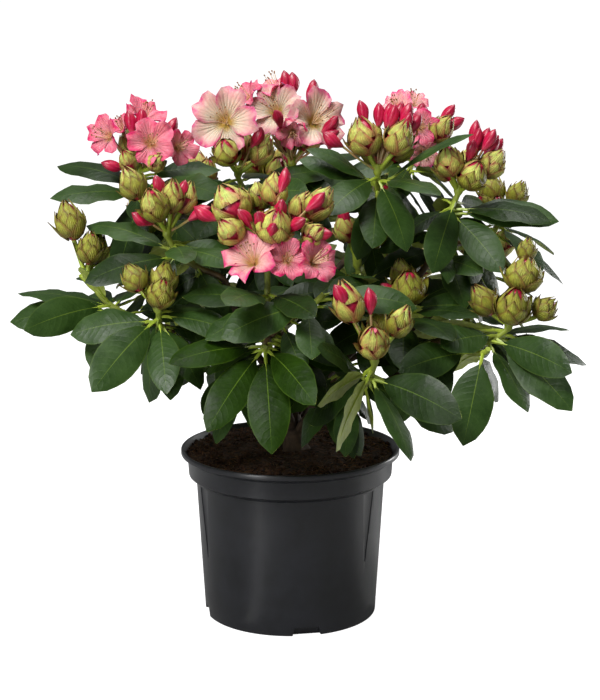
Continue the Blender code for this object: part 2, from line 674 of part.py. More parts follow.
class Crown:
    """The solids that stand in the crown, each with its owner, so that new ones can keep clear of them."""

    def __init__(self):
        self.standing = []

    def add(self, solid, owner):
        points, faces = solid
        low = [min(p[k] for p in points) for k in range(3)]
        high = [max(p[k] for p in points) for k in range(3)]
        self.standing.append((low, high, BVHTree.FromPolygons(points, faces), owner))

    def touches(self, solid, wanted):
        """Whether this solid crosses one that stands already, among those whose owners are wanted."""
        points, faces = solid
        low = [min(p[k] for p in points) for k in range(3)]
        high = [max(p[k] for p in points) for k in range(3)]
        tree = None
        for other_low, other_high, other, owner in self.standing:
            if not wanted(owner):
                continue
            if any(low[k] > other_high[k] or high[k] < other_low[k] for k in range(3)):
                continue
            tree = tree or BVHTree.FromPolygons(points, faces)
            if tree.overlap(other):
                return True
        return False


def widest_gap(headings, rng):
    """A heading that parts the widest gap between those in use."""
    if not headings:
        return rng.uniform(0, 360)
    ring = sorted(h % 360 for h in headings)
    gaps = [((ring[(k + 1) % len(ring)] - h) % 360 or 360, h) for k, h in enumerate(ring)]
    gap, start = max(gaps)
    return (start + gap * rng.uniform(0.42, 0.58)) % 360


def inside_crown(point):
    off = point - CROWN_MIDDLE
    return sum((off[k] / CROWN_REACH[k]) ** 2 for k in range(3)) < 1


def grow_truss(name, crown):
    """The truss pieces of one shoot: those laid down for it, then scaly buds and a bud in colour round it."""
    bough, at, (heading, lean), neck, _leaves, pieces, more = SHOOTS[name]
    rng = random.Random(name + " truss")
    base = Vector(at) + aim(heading, lean) * max(neck, 4) / 1000
    kept = []
    pieces = list(pieces)
    used = [p[1] for p in pieces if p[0] != "P"]
    for k in range(more):
        turn = widest_gap(used, rng)
        used.append(turn)
        pieces.append(("E", round(turn), rng.randint(28, 48), rng.randint(30, 38), 26, 36))
        if k % 2 == 0:
            pieces.append(("P", round(turn + rng.uniform(-30, 30)), rng.randint(10, 35), rng.randint(44, 54)))
    if not pieces:
        pieces.append(("P", 0, 0, 6))
    pieces = [p for p in pieces if p[0] != "P" or p[3] >= LEAST_REACH or not has_truss(name)]
    for piece in pieces:
        if not crown.touches(truss_solid(base, piece, CLEAR), lambda owner: owner != bough):
            kept.append(piece)
    for piece in kept:
        crown.add(truss_solid(base, piece, CLEAR), bough)
    return base, kept


def leaf_roots(name, twig):
    """Places for one whorl's leaf stalks, spread down the last of the twig in a seeded order."""
    rng = random.Random(name + " roots")
    stalk = twig[0][TWIG_STEPS::-1]
    count = max(WHORL, len(SHOOTS[name][4]))
    roots = [down_path(stalk, 0.002 + WHORL_DEPTH * k / count) for k in range(count)]
    rng.shuffle(roots)
    return roots


def place_leaf(name, root, turn, droop, length, roll, width, nudges, crown):
    """Adds a leaf where one of a few small nudges keeps it clear of all that stands, or returns None."""
    bough, whorl = SHOOTS[name][0], Vector(SHOOTS[name][1])
    for more_turn, more_droop in nudges:
        tip = whorl + aim(turn + more_turn, 90 + droop + more_droop) * length
        leaf = (root, tip, width, roll)
        whole = leaf_solid(*leaf, CLEAR)
        if crown.touches(whole, lambda owner: owner != bough):
            continue
        if crown.touches(leaf_solid(*leaf, 0.0, True), lambda owner: owner == bough):
            continue
        crown.add(whole, bough)
        return leaf
    return None


def lay_leaves(name, roots, crown):
    """The leaves whose directions the shoot's table gives."""
    rng = random.Random(name + " laid")
    nudges = [(t, d) for d in (0, 4, -4, 8, -8, 13, -13, 18) for t in (0, 7, -7, 14)]
    leaves = []
    for root, given in zip(roots, SHOOTS[name][4]):
        turn, droop, length, roll = (*given, 0)[:4]
        length /= 1000
        width = length * LEAF_WIDTH * rng.uniform(0.92, 1.06)
        leaf = place_leaf(name, root, turn, droop, length, roll, width, nudges, crown)
        if leaf:
            leaves.append(leaf)
    return leaves


def fill_leaves(name, roots, crown):
    """Leaves that fill the widest gaps of the whorl. One that would leave the crown is skipped."""
    rng = random.Random(name + " fill")
    nudges = [(t, d) for t in (0, 9, -9) for d in (0, 9, -9, 18, -18, 30)]
    given = SHOOTS[name][4]
    whorl = Vector(SHOOTS[name][1])
    used = [g[0] for g in given]
    leaves = []
    for root in roots[len(given) :]:
        turn = widest_gap(used, rng)
        used.append(turn)
        droop = rng.uniform(2, 34)
        length = LEAF_LENGTH * rng.uniform(0.86, 1.08)
        width = length * LEAF_WIDTH * rng.uniform(0.92, 1.06)
        roll = rng.uniform(-18, 18)
        within = [n for n in nudges if inside_crown(whorl + aim(turn + n[0], 90 + droop + n[1]) * length)]
        leaf = place_leaf(name, root, turn, droop, length, roll, width, within, crown)
        if leaf:
            leaves.append(leaf)
    return leaves


def make_mass(bough, twigs, trusses, whorls):
    """One mass of foliage: its twigs, leaves, buds and flowers joined into a single solid."""
    solids = [tube(path, radii, TWIG_SIDES, 0.3) for path, radii in twigs.values()]
    for name in twigs:
        base, pieces = trusses[name]
        solids += [truss_solid(base, piece) for piece in pieces]
        solids += [leaf_solid(*leaf) for leaf in whorls[name]]
    made = add_object(bough.replace("bough", "mass"), faceted(solids[0]), "foliage")
    settle(made, "UNION", solids[1:])
    tidy_body(made)


def main():
    remove_everything()
    make_pot()
    make_soil()
    trunk = trunk_rings(stem_path())
    add_object("trunk", faceted(trunk), "bark")
    paths = limb_paths()
    crown = Crown()
    crown.add(trunk, "trunk")
    outer, _inner = pot_profile()
    crown.add(turned(outer + [(0, POT_HEIGHT)], POT_SIDES), "pot")
    for name, (path, radii) in paths.items():
        if name != "trunk":
            crown.add(tube(path, [r + CLEAR for r in radii], BOUGH_SIDES), "limb " + name)
            make_bough(name, paths)
    masses = {name: twig_paths(name, paths) for name in BOUGHS}
    for name, twigs in masses.items():
        for path, radii in twigs.values():
            crown.add(tube(path, [r + CLEAR / 2 for r in radii], TWIG_SIDES, 0.3), name)
    trusses = {name: grow_truss(name, crown) for name in SHOOTS}
    roots = {name: leaf_roots(name, masses[SHOOTS[name][0]][name]) for name in SHOOTS}
    whorls = {name: lay_leaves(name, roots[name], crown) for name in SHOOTS}
    for name in SHOOTS:
        whorls[name] += fill_leaves(name, roots[name], crown)
    for bough, twigs in masses.items():
        make_mass(bough, twigs, trusses, whorls)


main()
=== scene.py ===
# %% [markdown]
# # A rhododendron in bud and bloom, in its nursery pot
#
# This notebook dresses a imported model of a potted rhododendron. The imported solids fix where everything
# stands and how far it reaches. The cells below make each piece and each finish in Blender: the pot, the
# peat, the woody limbs, and then the leaves, buds and flowers that grow on from them.

import json
import math
import random
from collections import namedtuple

import bpy
import numpy as np
from mathutils import Matrix, Vector, noise
from mathutils.bvhtree import BVHTree

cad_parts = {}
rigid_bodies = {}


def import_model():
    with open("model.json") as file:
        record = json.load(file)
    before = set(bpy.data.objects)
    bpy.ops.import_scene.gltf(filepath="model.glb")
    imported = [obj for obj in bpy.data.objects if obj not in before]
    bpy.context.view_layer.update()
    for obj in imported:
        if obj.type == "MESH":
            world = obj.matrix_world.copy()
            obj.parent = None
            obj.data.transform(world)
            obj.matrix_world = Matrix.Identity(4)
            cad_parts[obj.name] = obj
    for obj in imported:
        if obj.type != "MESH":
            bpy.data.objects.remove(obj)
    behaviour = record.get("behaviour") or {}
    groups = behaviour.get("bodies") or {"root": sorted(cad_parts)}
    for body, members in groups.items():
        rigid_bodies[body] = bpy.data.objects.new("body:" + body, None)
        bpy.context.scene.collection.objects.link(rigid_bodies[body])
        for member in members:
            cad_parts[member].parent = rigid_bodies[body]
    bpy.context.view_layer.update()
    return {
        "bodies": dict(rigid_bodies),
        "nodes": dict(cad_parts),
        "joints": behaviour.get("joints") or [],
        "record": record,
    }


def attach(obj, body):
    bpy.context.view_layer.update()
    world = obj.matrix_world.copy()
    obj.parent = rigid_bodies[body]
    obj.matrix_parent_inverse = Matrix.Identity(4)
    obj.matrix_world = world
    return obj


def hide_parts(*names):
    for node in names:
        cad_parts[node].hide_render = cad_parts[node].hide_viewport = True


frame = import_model()
bpy.ops.object.select_all(action="DESELECT")
NODES = sorted(frame["nodes"])
MASSES = [name for name in NODES if name.startswith("mass_")]
LIMBS = [name for name in NODES if name.startswith("bough_")]

# %% [markdown]
# ## The camera
#
# The plant is seen from a little above the rim of its pot, from two metres away with a long lens, so that
# the pot's sides stay nearly upright. The camera looks along +Y, tipped down by the angle of view.

# %% Set up the camera
TILT_DOWN = math.radians(12.14)
CAMERA_AT = (0.0102, -1.9553, 0.7023)
LENS = 98.66

view = bpy.data.cameras.new("studio_camera")
view.lens = LENS
view.sensor_width = 36
camera = bpy.data.objects.new("studio_camera", view)
camera.location = CAMERA_AT
camera.rotation_euler = (math.pi / 2 - TILT_DOWN, 0, 0)
bpy.context.scene.collection.objects.link(camera)
bpy.context.scene.camera = camera
bpy.context.scene.view_settings.view_transform = "Standard"
print("lens", view.lens, "mm at", CAMERA_AT)

# %% [markdown]
# ## Floor and light
#
# Soft light from large lamps keeps the leaves' gloss broad. The key lamp stands to the upper left, and two
# tall lamps, one on each side, draw the long soft streaks that a round plastic pot shows. The world lights
# everything a little. The backdrop and the floor look white to the camera but send little light back, so
# that the crown stays deep and dark inside. Two paler cards lie on the floor beside the pot. Its wall mirrors
# the floor, so they draw the upright light bands of a shiny round pot.


# %% Make the lamps
# Each lamp: name, place, the point that it faces, width and height in metres, and power in watts.
LAMPS = (
    ("key_lamp", (-1.1, -1.7, 2.5), (0, 0, 0.35), (1.0, 1.0), 108),
    ("left_strip", (-0.96, -1.40, 0.26), (0, 0, 0.2), (0.07, 0.5), 9),
    ("right_strip", (1.35, 1.0, 0.4), (0, 0, 0.2), (0.3, 0.9), 14),
    ("top_lamp", (0.3, 0.4, 2.4), (0, 0, 0.4), (1.3, 1.0), 36),
)
for name, place, target, size, power in LAMPS:
    data = bpy.data.lights.new(name, "AREA")
    data.shape = "RECTANGLE"
    data.size, data.size_y = size
    data.energy = power
    lamp = bpy.data.objects.new(name, data)
    lamp.location = place
    lamp.rotation_euler = (Vector(target) - Vector(place)).to_track_quat("-Z", "Y").to_euler()
    bpy.context.scene.collection.objects.link(lamp)


# %% Place and join shader nodes
def feed(tree, value, socket):
    """Gives an input its value: another node's output, a colour or a number."""
    if isinstance(value, bpy.types.NodeSocket):
        tree.links.new(value, socket)
    elif socket.type == "RGBA" and len(value) == 3:
        socket.default_value = (*value, 1)
    else:
        socket.default_value = value


def new_node(tree, kind, values={}, **settings):
    """A node with its settings, and its inputs fed by label or number."""
    node = tree.nodes.new("ShaderNode" + kind)
    for name, value in settings.items():
        setattr(node, name, value)
    for label, value in values.items():
        if value is not None:
            feed(tree, value, node.inputs[label])
    return node


def calc(tree, operation, first, second=None):
    """A Math node's result, from sockets or numbers."""
    return new_node(tree, "Math", {0: first, 1: second}, operation=operation).outputs[0]


def times(tree, first, second):
    """Two values multiplied."""
    return calc(tree, "MULTIPLY", first, second)


def mix(tree, factor, first, second, way="MIX"):
    """One colour over another by a factor. Each may be a socket or plain numbers."""
    values = {"Factor": factor, "A": first, "B": second}
    return new_node(tree, "Mix", values, data_type="RGBA", blend_type=way).outputs["Result"]


print("node helpers are ready")

# %% Make the world and the floor
world = bpy.data.worlds.new("studio")
bpy.context.scene.world = world
world.use_nodes = True
tree = world.node_tree
sky = tree.nodes["Background"]
feed(tree, (0.96, 0.98, 1.0), sky.inputs["Color"])
feed(tree, 0.22, sky.inputs["Strength"])
backdrop = new_node(tree, "Background", {"Color": (1, 1, 1), "Strength": 1.0})
seen = new_node(tree, "LightPath").outputs["Is Camera Ray"]
either = new_node(tree, "MixShader", {0: seen, 1: sky.outputs[0], 2: backdrop.outputs[0]})
feed(tree, either.outputs["Shader"], tree.nodes["World Output"].inputs["Surface"])


def lay_sheet(name, corners, height, tone):
    """A flat sheet on the floor, which looks white to the camera and sends a share of its light back."""
    bpy.ops.mesh.primitive_plane_add(size=2)
    sheet = bpy.context.object
    sheet.name = name
    for point, (x, y) in zip(sheet.data.vertices, corners):
        point.co = (x, y, height)
    paint = bpy.data.materials.new(name + "_paint")
    paint.use_nodes = True
    tree = paint.node_tree
    pale = tree.nodes["Principled BSDF"].inputs
    feed(tree, (tone, tone, tone), pale["Base Color"])
    feed(tree, 0.9, pale["Roughness"])
    feed(tree, 0.1, pale["Specular IOR Level"])
    feed(tree, (1, 1, 1), pale["Emission Color"])
    feed(tree, new_node(tree, "LightPath").outputs["Is Camera Ray"], pale["Emission Strength"])
    sheet.data.materials.append(paint)
    return sheet


def wedge(near, far, middle, spread):
    """The corners of a wedge that opens away from the pot's axis. Its middle's heading is in degrees."""
    turns = [math.radians(middle - spread / 2), math.radians(middle + spread / 2)]
    return [(r * math.cos(turn), r * math.sin(turn)) for r in (near, far) for turn in turns]


floor = lay_sheet("floor", [(-40, -40), (40, -40), (-40, 40), (40, 40)], -0.0006, 0.30)
lay_sheet("left_card", wedge(0.11, 1.3, 236.5, 10), -0.0004, 0.82)
lay_sheet("right_card", wedge(0.11, 1.0, 18, 56), -0.0004, 0.72)
print("the floor lies at", round(floor.data.vertices[0].co.z, 4))

# %% [markdown]
# ## Shader groups
#
# Four effects come back in many finishes. Growing things are never one even colour, so one group lays soft
# patches of two colours over each other. Moulded plastic, peat, bark and leaf skin all have a fine grain, so
# a second group gives a height for it. Leaves, scales and petals share one way of laying a map on a thin
# blade, so a third group reads that map: how far across, how far along, and which face. The fourth draws
# side veins and a midrib by it, which on scales and petals serve as ribs and folds.


# %% Patches and grain
def new_group(name, inputs, outputs):
    """An empty shader group, its inputs as outputs of its start, and its outputs as inputs of its end."""
    group = bpy.data.node_groups.new(name, "ShaderNodeTree")
    for label, kind, value in inputs:
        socket = group.interface.new_socket(label, in_out="INPUT", socket_type="NodeSocket" + kind)
        if value is not None:
            socket.default_value = value
    for label, kind in outputs:
        group.interface.new_socket(label, in_out="OUTPUT", socket_type="NodeSocket" + kind)
    return group, group.nodes.new("NodeGroupInput").outputs, group.nodes.new("NodeGroupOutput").inputs


def patches_group():
    """Two colours in soft patches, and the mask that parts them."""
    group, start, end = new_group(
        "patches",
        [
            ("Vector", "Vector", None),
            ("Colour one", "Color", (0.1, 0.1, 0.1, 1)),
            ("Colour two", "Color", (0.2, 0.2, 0.2, 1)),
            ("Scale", "Float", 60),
        ],
        [("Colour", "Color"), ("Mask", "Float")],
    )
    look = {"Vector": start["Vector"], "Scale": start["Scale"], "Detail": 4, "Roughness": 0.6}
    cloud = new_node(group, "TexNoise", look).outputs["Fac"]
    mask = new_node(group, "MapRange", {"Value": cloud, "From Min": 0.34, "From Max": 0.66}).outputs["Result"]
    feed(group, mix(group, mask, start["Colour one"], start["Colour two"]), end["Colour"])
    feed(group, mask, end["Mask"])
    return group


def grain_group():
    """Fine noise at two scales, as a height."""
    group, start, end = new_group("grain", [("Vector", "Vector", None), ("Scale", "Float", 900)], [("Height", "Float")])
    heights = []
    for share in (1.0, 0.22):
        look = {"Vector": start["Vector"], "Scale": times(group, start["Scale"], share), "Detail": 3}
        heights.append(new_node(group, "TexNoise", look).outputs["Fac"])
    feed(group, calc(group, "ADD", *heights), end["Height"])
    return group


PATCHES = patches_group()
GRAIN = grain_group()
print("groups:", PATCHES.name, GRAIN.name)


# %% The map of a thin blade, and its side veins
def sides_group():
    """The map's left half is a blade's front and its right half the back. Across is 0 in the middle."""
    group, start, end = new_group(
        "blade_map", [("Map", "Vector", None)], [("Across", "Float"), ("Along", "Float"), ("Back", "Float")]
    )
    split = new_node(group, "SeparateXYZ", {0: start["Map"]}).outputs
    half = calc(group, "FRACT", times(group, split["X"], 2.0))
    middle = calc(group, "SUBTRACT", times(group, half, 2.0), 1.0)
    feed(group, calc(group, "ABSOLUTE", middle), end["Across"])
    feed(group, split["Y"], end["Along"])
    feed(group, calc(group, "GREATER_THAN", split["X"], 0.5), end["Back"])
    return group


def veins_group():
    """Side veins that leave the midrib and lean towards the tip, as a height and as a mask of thin lines,
    and the midrib's own mask, wide at the stalk and fine at the tip."""
    group, start, end = new_group(
        "veins",
        [("Across", "Float", 0), ("Along", "Float", 0), ("Pairs", "Float", 11), ("Midrib", "Float", 0.05)],
        [("Height", "Float"), ("Lines", "Float"), ("Midrib", "Float")],
    )
    across, along = start["Across"], start["Along"]
    lean = times(group, calc(group, "POWER", across, 1.3), 0.16)
    turns = times(group, calc(group, "SUBTRACT", along, lean), start["Pairs"])
    wave = calc(group, "ABSOLUTE", calc(group, "SINE", times(group, turns, math.pi)))
    fade = calc(group, "SUBTRACT", 1.0, calc(group, "POWER", across, 2.0))
    feed(group, times(group, calc(group, "POWER", wave, 0.4), fade), end["Height"])
    feed(group, times(group, calc(group, "LESS_THAN", wave, 0.16), fade), end["Lines"])
    width = times(group, calc(group, "SUBTRACT", 1.1, along), start["Midrib"])
    feed(group, calc(group, "LESS_THAN", across, width), end["Midrib"])
    return group


SIDES = sides_group()
VEINS = veins_group()
MAP_NAME = "OFBake"
print("groups:", SIDES.name, VEINS.name)


# %% Helpers that start a material
def srgb(red, green, blue):
    """A colour as a paint chart gives it, 0 to 255, in the linear numbers that shaders take."""
    shares = [value / 255 for value in (red, green, blue)]
    return tuple(s / 12.92 if s <= 0.04045 else ((s + 0.055) / 1.055) ** 2.4 for s in shares)


def new_material(name, roughness, specular=0.5):
    """A material, its node tree and its Principled shader, with a plain roughness and gloss."""
    made = bpy.data.materials.new(name)
    made.use_nodes = True
    tree = made.node_tree
    shader = tree.nodes["Principled BSDF"]
    feed(tree, roughness, shader.inputs["Roughness"])
    feed(tree, specular, shader.inputs["Specular IOR Level"])
    return made, tree, shader


def place_group(tree, group, **values):
    """A group in a material, with Object coordinates on its Vector and its other inputs fed by name."""
    node = new_node(tree, "Group", node_tree=group)
    if "Vector" in node.inputs:
        feed(tree, new_node(tree, "TexCoord").outputs["Object"], node.inputs["Vector"])
    for label, value in values.items():
        feed(tree, value, node.inputs[label.replace("_", " ")])
    return node.outputs


def patches(tree, first, second, scale):
    """Soft patches of two colours over the piece: the colour and the mask."""
    cloud = place_group(tree, PATCHES, Colour_one=first, Colour_two=second, Scale=scale)
    return cloud["Colour"], cloud["Mask"]


print("a paint chart's grey 128 is", round(srgb(128, 128, 128)[0], 3), "to a shader")


# %% Helpers for relief, gloss and colour
def add_bump(shader, height, strength, distance):
    """Feeds a height to the shader's Normal, on top of any bump that is there."""
    tree, socket = shader.id_data, shader.inputs["Normal"]
    below = socket.links[0].from_socket if socket.links else None
    look = {"Strength": strength, "Distance": distance, "Height": height, "Normal": below}
    feed(tree, new_node(tree, "Bump", look).outputs["Normal"], socket)


def add_grain(shader, scale, strength, distance):
    """Adds fine grain of one scale as bump."""
    add_bump(shader, place_group(shader.id_data, GRAIN, Scale=scale)["Height"], strength, distance)


def vary_roughness(shader, mask, low, high):
    """Lets a mask move the roughness between two values."""
    reach = new_node(shader.id_data, "MapRange", {"Value": mask, "To Min": low, "To Max": high})
    feed(shader.id_data, reach.outputs["Result"], shader.inputs["Roughness"])


def colour_with(shader, colour):
    feed(shader.id_data, colour, shader.inputs["Base Color"])


def patchy_finish(name, roughness, first, second, scale, specular=0.5):
    """A whole finish of two paint colours in soft patches: the material, its shader and the mask."""
    made, tree, shader = new_material(name, roughness, specular)
    colour, mask = patches(tree, srgb(*first), srgb(*second), scale)
    colour_with(shader, colour)
    return made, shader, mask


print("paint helpers are ready")

# %% [markdown]
# ## The pot
#
# The pot is a thin black shell from a mould: a body that widens upwards, a step out to a broad band, and a
# lip that rolls over it. A lathe's profile with a Screw modifier would do, but a ring that is extruded and
# resized from height to height shows each step of the wall, so that is used. Cutters then take out the drain
# notches at the foot and the slim flutes that stiffen the body, and a fine bevel softens what they leave.

# %% Name the pot's sizes
POT_HEIGHT = 0.178
LIP_RADIUS = 0.115
LIP_DEPTH = 0.0055
BAND_RADIUS = 0.1084
BAND_DEPTH = 0.028
BAND_TAPER = 0.0014
BODY_TOP_RADIUS = 0.0991
BASE_RADIUS = 0.0906
WALL = 0.0022
FLOOR = 0.004
EDGE_ROUND = 0.0012
LIP_ROUND = 0.0015
NOTCH_HEADINGS = (11, 101, 191, 281)
FLUTE_HEADINGS = (85, 205, 325)
SOIL_LEVEL = 0.1735
POT_SEGMENTS = 144
print("the pot is", POT_HEIGHT, "m high and", 2 * LIP_RADIUS, "m across its lip")


# %% Turn a profile into a shell
def arc(middle, size, start, sweep, steps=4):
    """(radius, height) points along an arc round a middle."""
    turns = [math.radians(start + sweep * k / steps) for k in range(steps + 1)]
    return [(middle[0] + size * math.cos(t), middle[1] + size * math.sin(t)) for t in turns]


def turn_shell(name, outline, segments):
    """A shell turned from (radius, height) points: one ring, extruded and resized from each point to the next."""
    radius, height = outline[0]
    bpy.ops.mesh.primitive_circle_add(vertices=segments, radius=radius, location=(0, 0, height))
    made = bpy.context.object
    made.name = name
    bpy.ops.object.transform_apply(location=True)
    bpy.ops.object.mode_set(mode="EDIT")
    bpy.ops.mesh.select_all(action="SELECT")
    for next_radius, next_height in outline[1:]:
        bpy.ops.mesh.extrude_edges_move(TRANSFORM_OT_translate={"value": (0, 0, next_height - height)})
        grow = next_radius / radius
        bpy.ops.transform.resize(value=(grow, grow, 1), center_override=(0, 0, 0))
        radius, height = next_radius, next_height
    bpy.ops.mesh.edge_face_add()
    bpy.ops.object.mode_set(mode="OBJECT")
    return made


def close_foot(piece, height):
    """Fills the open ring at a height, and turns every face outwards."""
    bpy.ops.object.mode_set(mode="EDIT")
    bpy.ops.mesh.select_all(action="DESELECT")
    bpy.ops.object.mode_set(mode="OBJECT")
    for point in piece.data.vertices:
        point.select = abs(point.co.z - height) < 1e-6
    bpy.ops.object.mode_set(mode="EDIT")
    bpy.ops.mesh.select_mode(type="VERT")
    bpy.ops.mesh.edge_face_add()
    bpy.ops.mesh.select_all(action="SELECT")
    bpy.ops.mesh.normals_make_consistent(inside=False)
    bpy.ops.object.mode_set(mode="OBJECT")


print("a half turn of arc has", len(arc((0, 0), 1, 0, 180)), "points")

# %% Turn the shell
band_foot = POT_HEIGHT - BAND_DEPTH
lip_foot = POT_HEIGHT - LIP_DEPTH
FLUTE_TOP = band_foot - 0.0065
outline = [(BASE_RADIUS - WALL, 0.0)]
outline += arc((BASE_RADIUS - EDGE_ROUND, EDGE_ROUND), EDGE_ROUND, -60, 55)
for k in range(1, 7):
    share = k / 6
    outline.append((BASE_RADIUS + (BODY_TOP_RADIUS - BASE_RADIUS) * share, EDGE_ROUND + (band_foot - 0.006) * share))
outline += arc((BAND_RADIUS - BAND_TAPER - EDGE_ROUND, band_foot + EDGE_ROUND), EDGE_ROUND, -80, 78)
outline += [(BAND_RADIUS - 0.0003, lip_foot - 0.0050), (BAND_RADIUS + 0.0006, lip_foot - 0.0038)]
outline += arc((LIP_RADIUS - EDGE_ROUND, lip_foot + 0.0008), EDGE_ROUND, -80, 78)
outline += arc((LIP_RADIUS - LIP_ROUND, POT_HEIGHT - LIP_ROUND), LIP_ROUND, 0, 170, 6)
outline += [
    (BAND_RADIUS - WALL, lip_foot - 0.001),
    (BAND_RADIUS - BAND_TAPER - WALL - 0.0006, band_foot + 0.004),
    (BODY_TOP_RADIUS - WALL, band_foot - 0.0015),
    (BASE_RADIUS - WALL + 0.0008, 0.0155),
    (BASE_RADIUS - 0.018, FLOOR),
]
pot = turn_shell("pot_shell", outline, POT_SEGMENTS)
close_foot(pot, 0.0)
print("the shell's wall runs through", len(outline), "rings")


# %% Cut the notches and the flutes
def make_active(piece):
    bpy.ops.object.select_all(action="DESELECT")
    piece.select_set(True)
    bpy.context.view_layer.objects.active = piece


def cut_with(piece, cutter):
    """Takes a cutter out of a piece for good."""
    make_active(piece)
    step = piece.modifiers.new("cut", "BOOLEAN")
    step.operation = "DIFFERENCE"
    step.object = cutter
    bpy.ops.object.modifier_apply(modifier=step.name)
    bpy.data.objects.remove(cutter)


def cutter_from_cube(corners, heading):
    """A cube whose eight corners are moved, then swung round the pot's axis to a heading."""
    bpy.ops.mesh.primitive_cube_add(size=2)
    made = bpy.context.object
    swing = Matrix.Rotation(math.radians(heading), 3, "Z")
    for point in made.data.vertices:
        key = tuple(1 if c > 0 else 0 for c in point.co)
        point.co = swing @ Vector(corners(*key))
    return made


def notch_corner(out, side, up):
    """A drain notch: wide at the floor and narrower above, let into the foot of the wall."""
    x = BASE_RADIUS + 0.010 if out else BASE_RADIUS - 0.007
    y = (0.0125 if up else 0.0175) * (1 if side else -1)
    return x, y, (0.0110 if out else 0.0079) if up else -0.01


def flute_corner(out, side, up):
    """A flute: wide under the band and drawn to a point 75 mm below it, 1.2 mm deep."""
    z = FLUTE_TOP if up else FLUTE_TOP - 0.075
    slope = (BODY_TOP_RADIUS - BASE_RADIUS) / band_foot
    x = BODY_TOP_RADIUS - slope * (FLUTE_TOP - z) + (0.006 if out else -0.0012)
    return x, (0.009 if up else 0.0004) * (1 if side else -1), z


for heading in NOTCH_HEADINGS:
    cut_with(pot, cutter_from_cube(notch_corner, heading))
for heading in FLUTE_HEADINGS:
    cut_with(pot, cutter_from_cube(flute_corner, heading))
make_active(pot)
soften = pot.modifiers.new("soften", "BEVEL")
soften.width = 0.0003
soften.segments = 2
soften.limit_method = "ANGLE"
soften.angle_limit = math.radians(40)
bpy.ops.object.modifier_apply(modifier=soften.name)
bpy.ops.object.shade_smooth_by_angle(angle=math.radians(35))
print("after cutting, the pot has", len(pot.data.polygons), "faces")

# %% [markdown]
# The finish is satin black plastic. Its base colour is a very dark grey, not pure black, and its gloss is
# broken by a faint mould grain. A little dust lies on it in slightly rougher and greyer patches.


# %% Give the pot its plastic
def finish_piece(piece, slot, *nodes):
    """Hands a finished piece to the frame: it rides on the body and stands for the solids that it replaces."""
    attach(piece, "root")
    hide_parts(*nodes)
    print(piece.name, len(piece.data.polygons), "faces")


plastic, shader, dust = patchy_finish("moulded_black_plastic", 0.36, (12, 13, 16), (21, 22, 27), 34)
vary_roughness(shader, dust, 0.30, 0.36)
add_grain(shader, 2600, 0.12, 0.0002)
pot.data.materials.clear()
pot.data.materials.append(plastic)
finish_piece(pot, "pot_black", "pot")

# %% [markdown]
# ## The peat
#
# The compost is dark fibrous peat. A disc of close rings gives its heaped surface, raised and lowered by a
# noise that depends only on place. Loose crumbs and short fibres lie on it. They are many and small, so one
# of each is shaped, and the copies are joined straight from arrays.

# %% Shape the peat's surface
brim = BAND_RADIUS - WALL + 0.0028
PEAT_FOOT = 0.125
rings = [
    (BODY_TOP_RADIUS - 0.004, PEAT_FOOT),
    (BODY_TOP_RADIUS - 0.0032, band_foot - 0.0015),
    (BAND_RADIUS - WALL - 0.0034, band_foot + 0.005),
    (BAND_RADIUS - WALL - 0.0006, lip_foot - 0.003),
]
RING_STEP = 0.0021
for k in range(1, int(brim / RING_STEP)):
    rings.append((brim - k * RING_STEP, SOIL_LEVEL - 0.001))
peat = turn_shell("peat_surface", rings, 150)
close_foot(peat, PEAT_FOOT)


def heap(x, y):
    """How high the peat stands at a place: a broad unevenness, clods, and fine crumbs."""
    broad = noise.noise(Vector((x, y, 0)) * 28) * 0.0020
    clods = noise.noise(Vector((x, y, 3)) * 130) * 0.0018
    fine = noise.noise(Vector((x, y, 7)) * 420) * 0.0011
    return broad + clods + fine


for point in peat.data.vertices:
    if point.co.z > SOIL_LEVEL - 0.003:
        reach = math.hypot(point.co.x, point.co.y) / brim
        point.co.z = SOIL_LEVEL - 0.0002 + heap(point.co.x, point.co.y) + 0.0018 * (1 - reach)
make_active(peat)
bpy.ops.object.shade_smooth()
print("the peat's surface has", len(peat.data.polygons), "faces")

# %% [markdown]
# ## Joining many small things
#
# Everything small on this plant repeats: crumbs, leaves, scales, petals. A shape is modelled once, read
# into arrays, and each copy is those arrays moved to its place. `Bundle` collects the copies and writes them
# as one mesh, with a map that every copy shares, so that a pattern falls in the same way on all of them.


# %% Read a modelled shape
class Shape:
    """A modelled shape as arrays: points, face corners, face sizes and a map place for each corner."""

    def __init__(self, points, corners, sizes, places):
        self.points = np.asarray(points, float)
        self.corners = np.asarray(corners, int)
        self.sizes = np.asarray(sizes, int)
        self.places = np.asarray(places, float)


def read_shape(piece):
    """Takes a modelled object's mesh into arrays, and removes the object."""
    mesh = piece.data
    points = np.empty(len(mesh.vertices) * 3)
    mesh.vertices.foreach_get("co", points)
    corners = np.empty(len(mesh.loops), np.int32)
    mesh.loops.foreach_get("vertex_index", corners)
    sizes = np.empty(len(mesh.polygons), np.int32)
    mesh.polygons.foreach_get("loop_total", sizes)
    places = np.full((len(corners), 2), 0.5)
    if mesh.uv_layers:
        flat = np.empty(len(corners) * 2)
        mesh.uv_layers[0].uv.foreach_get("vector", flat)
        places = flat.reshape(-1, 2)
    bpy.data.objects.remove(piece)
    return Shape(points.reshape(-1, 3), corners, sizes, places)


print("ready to read shapes")


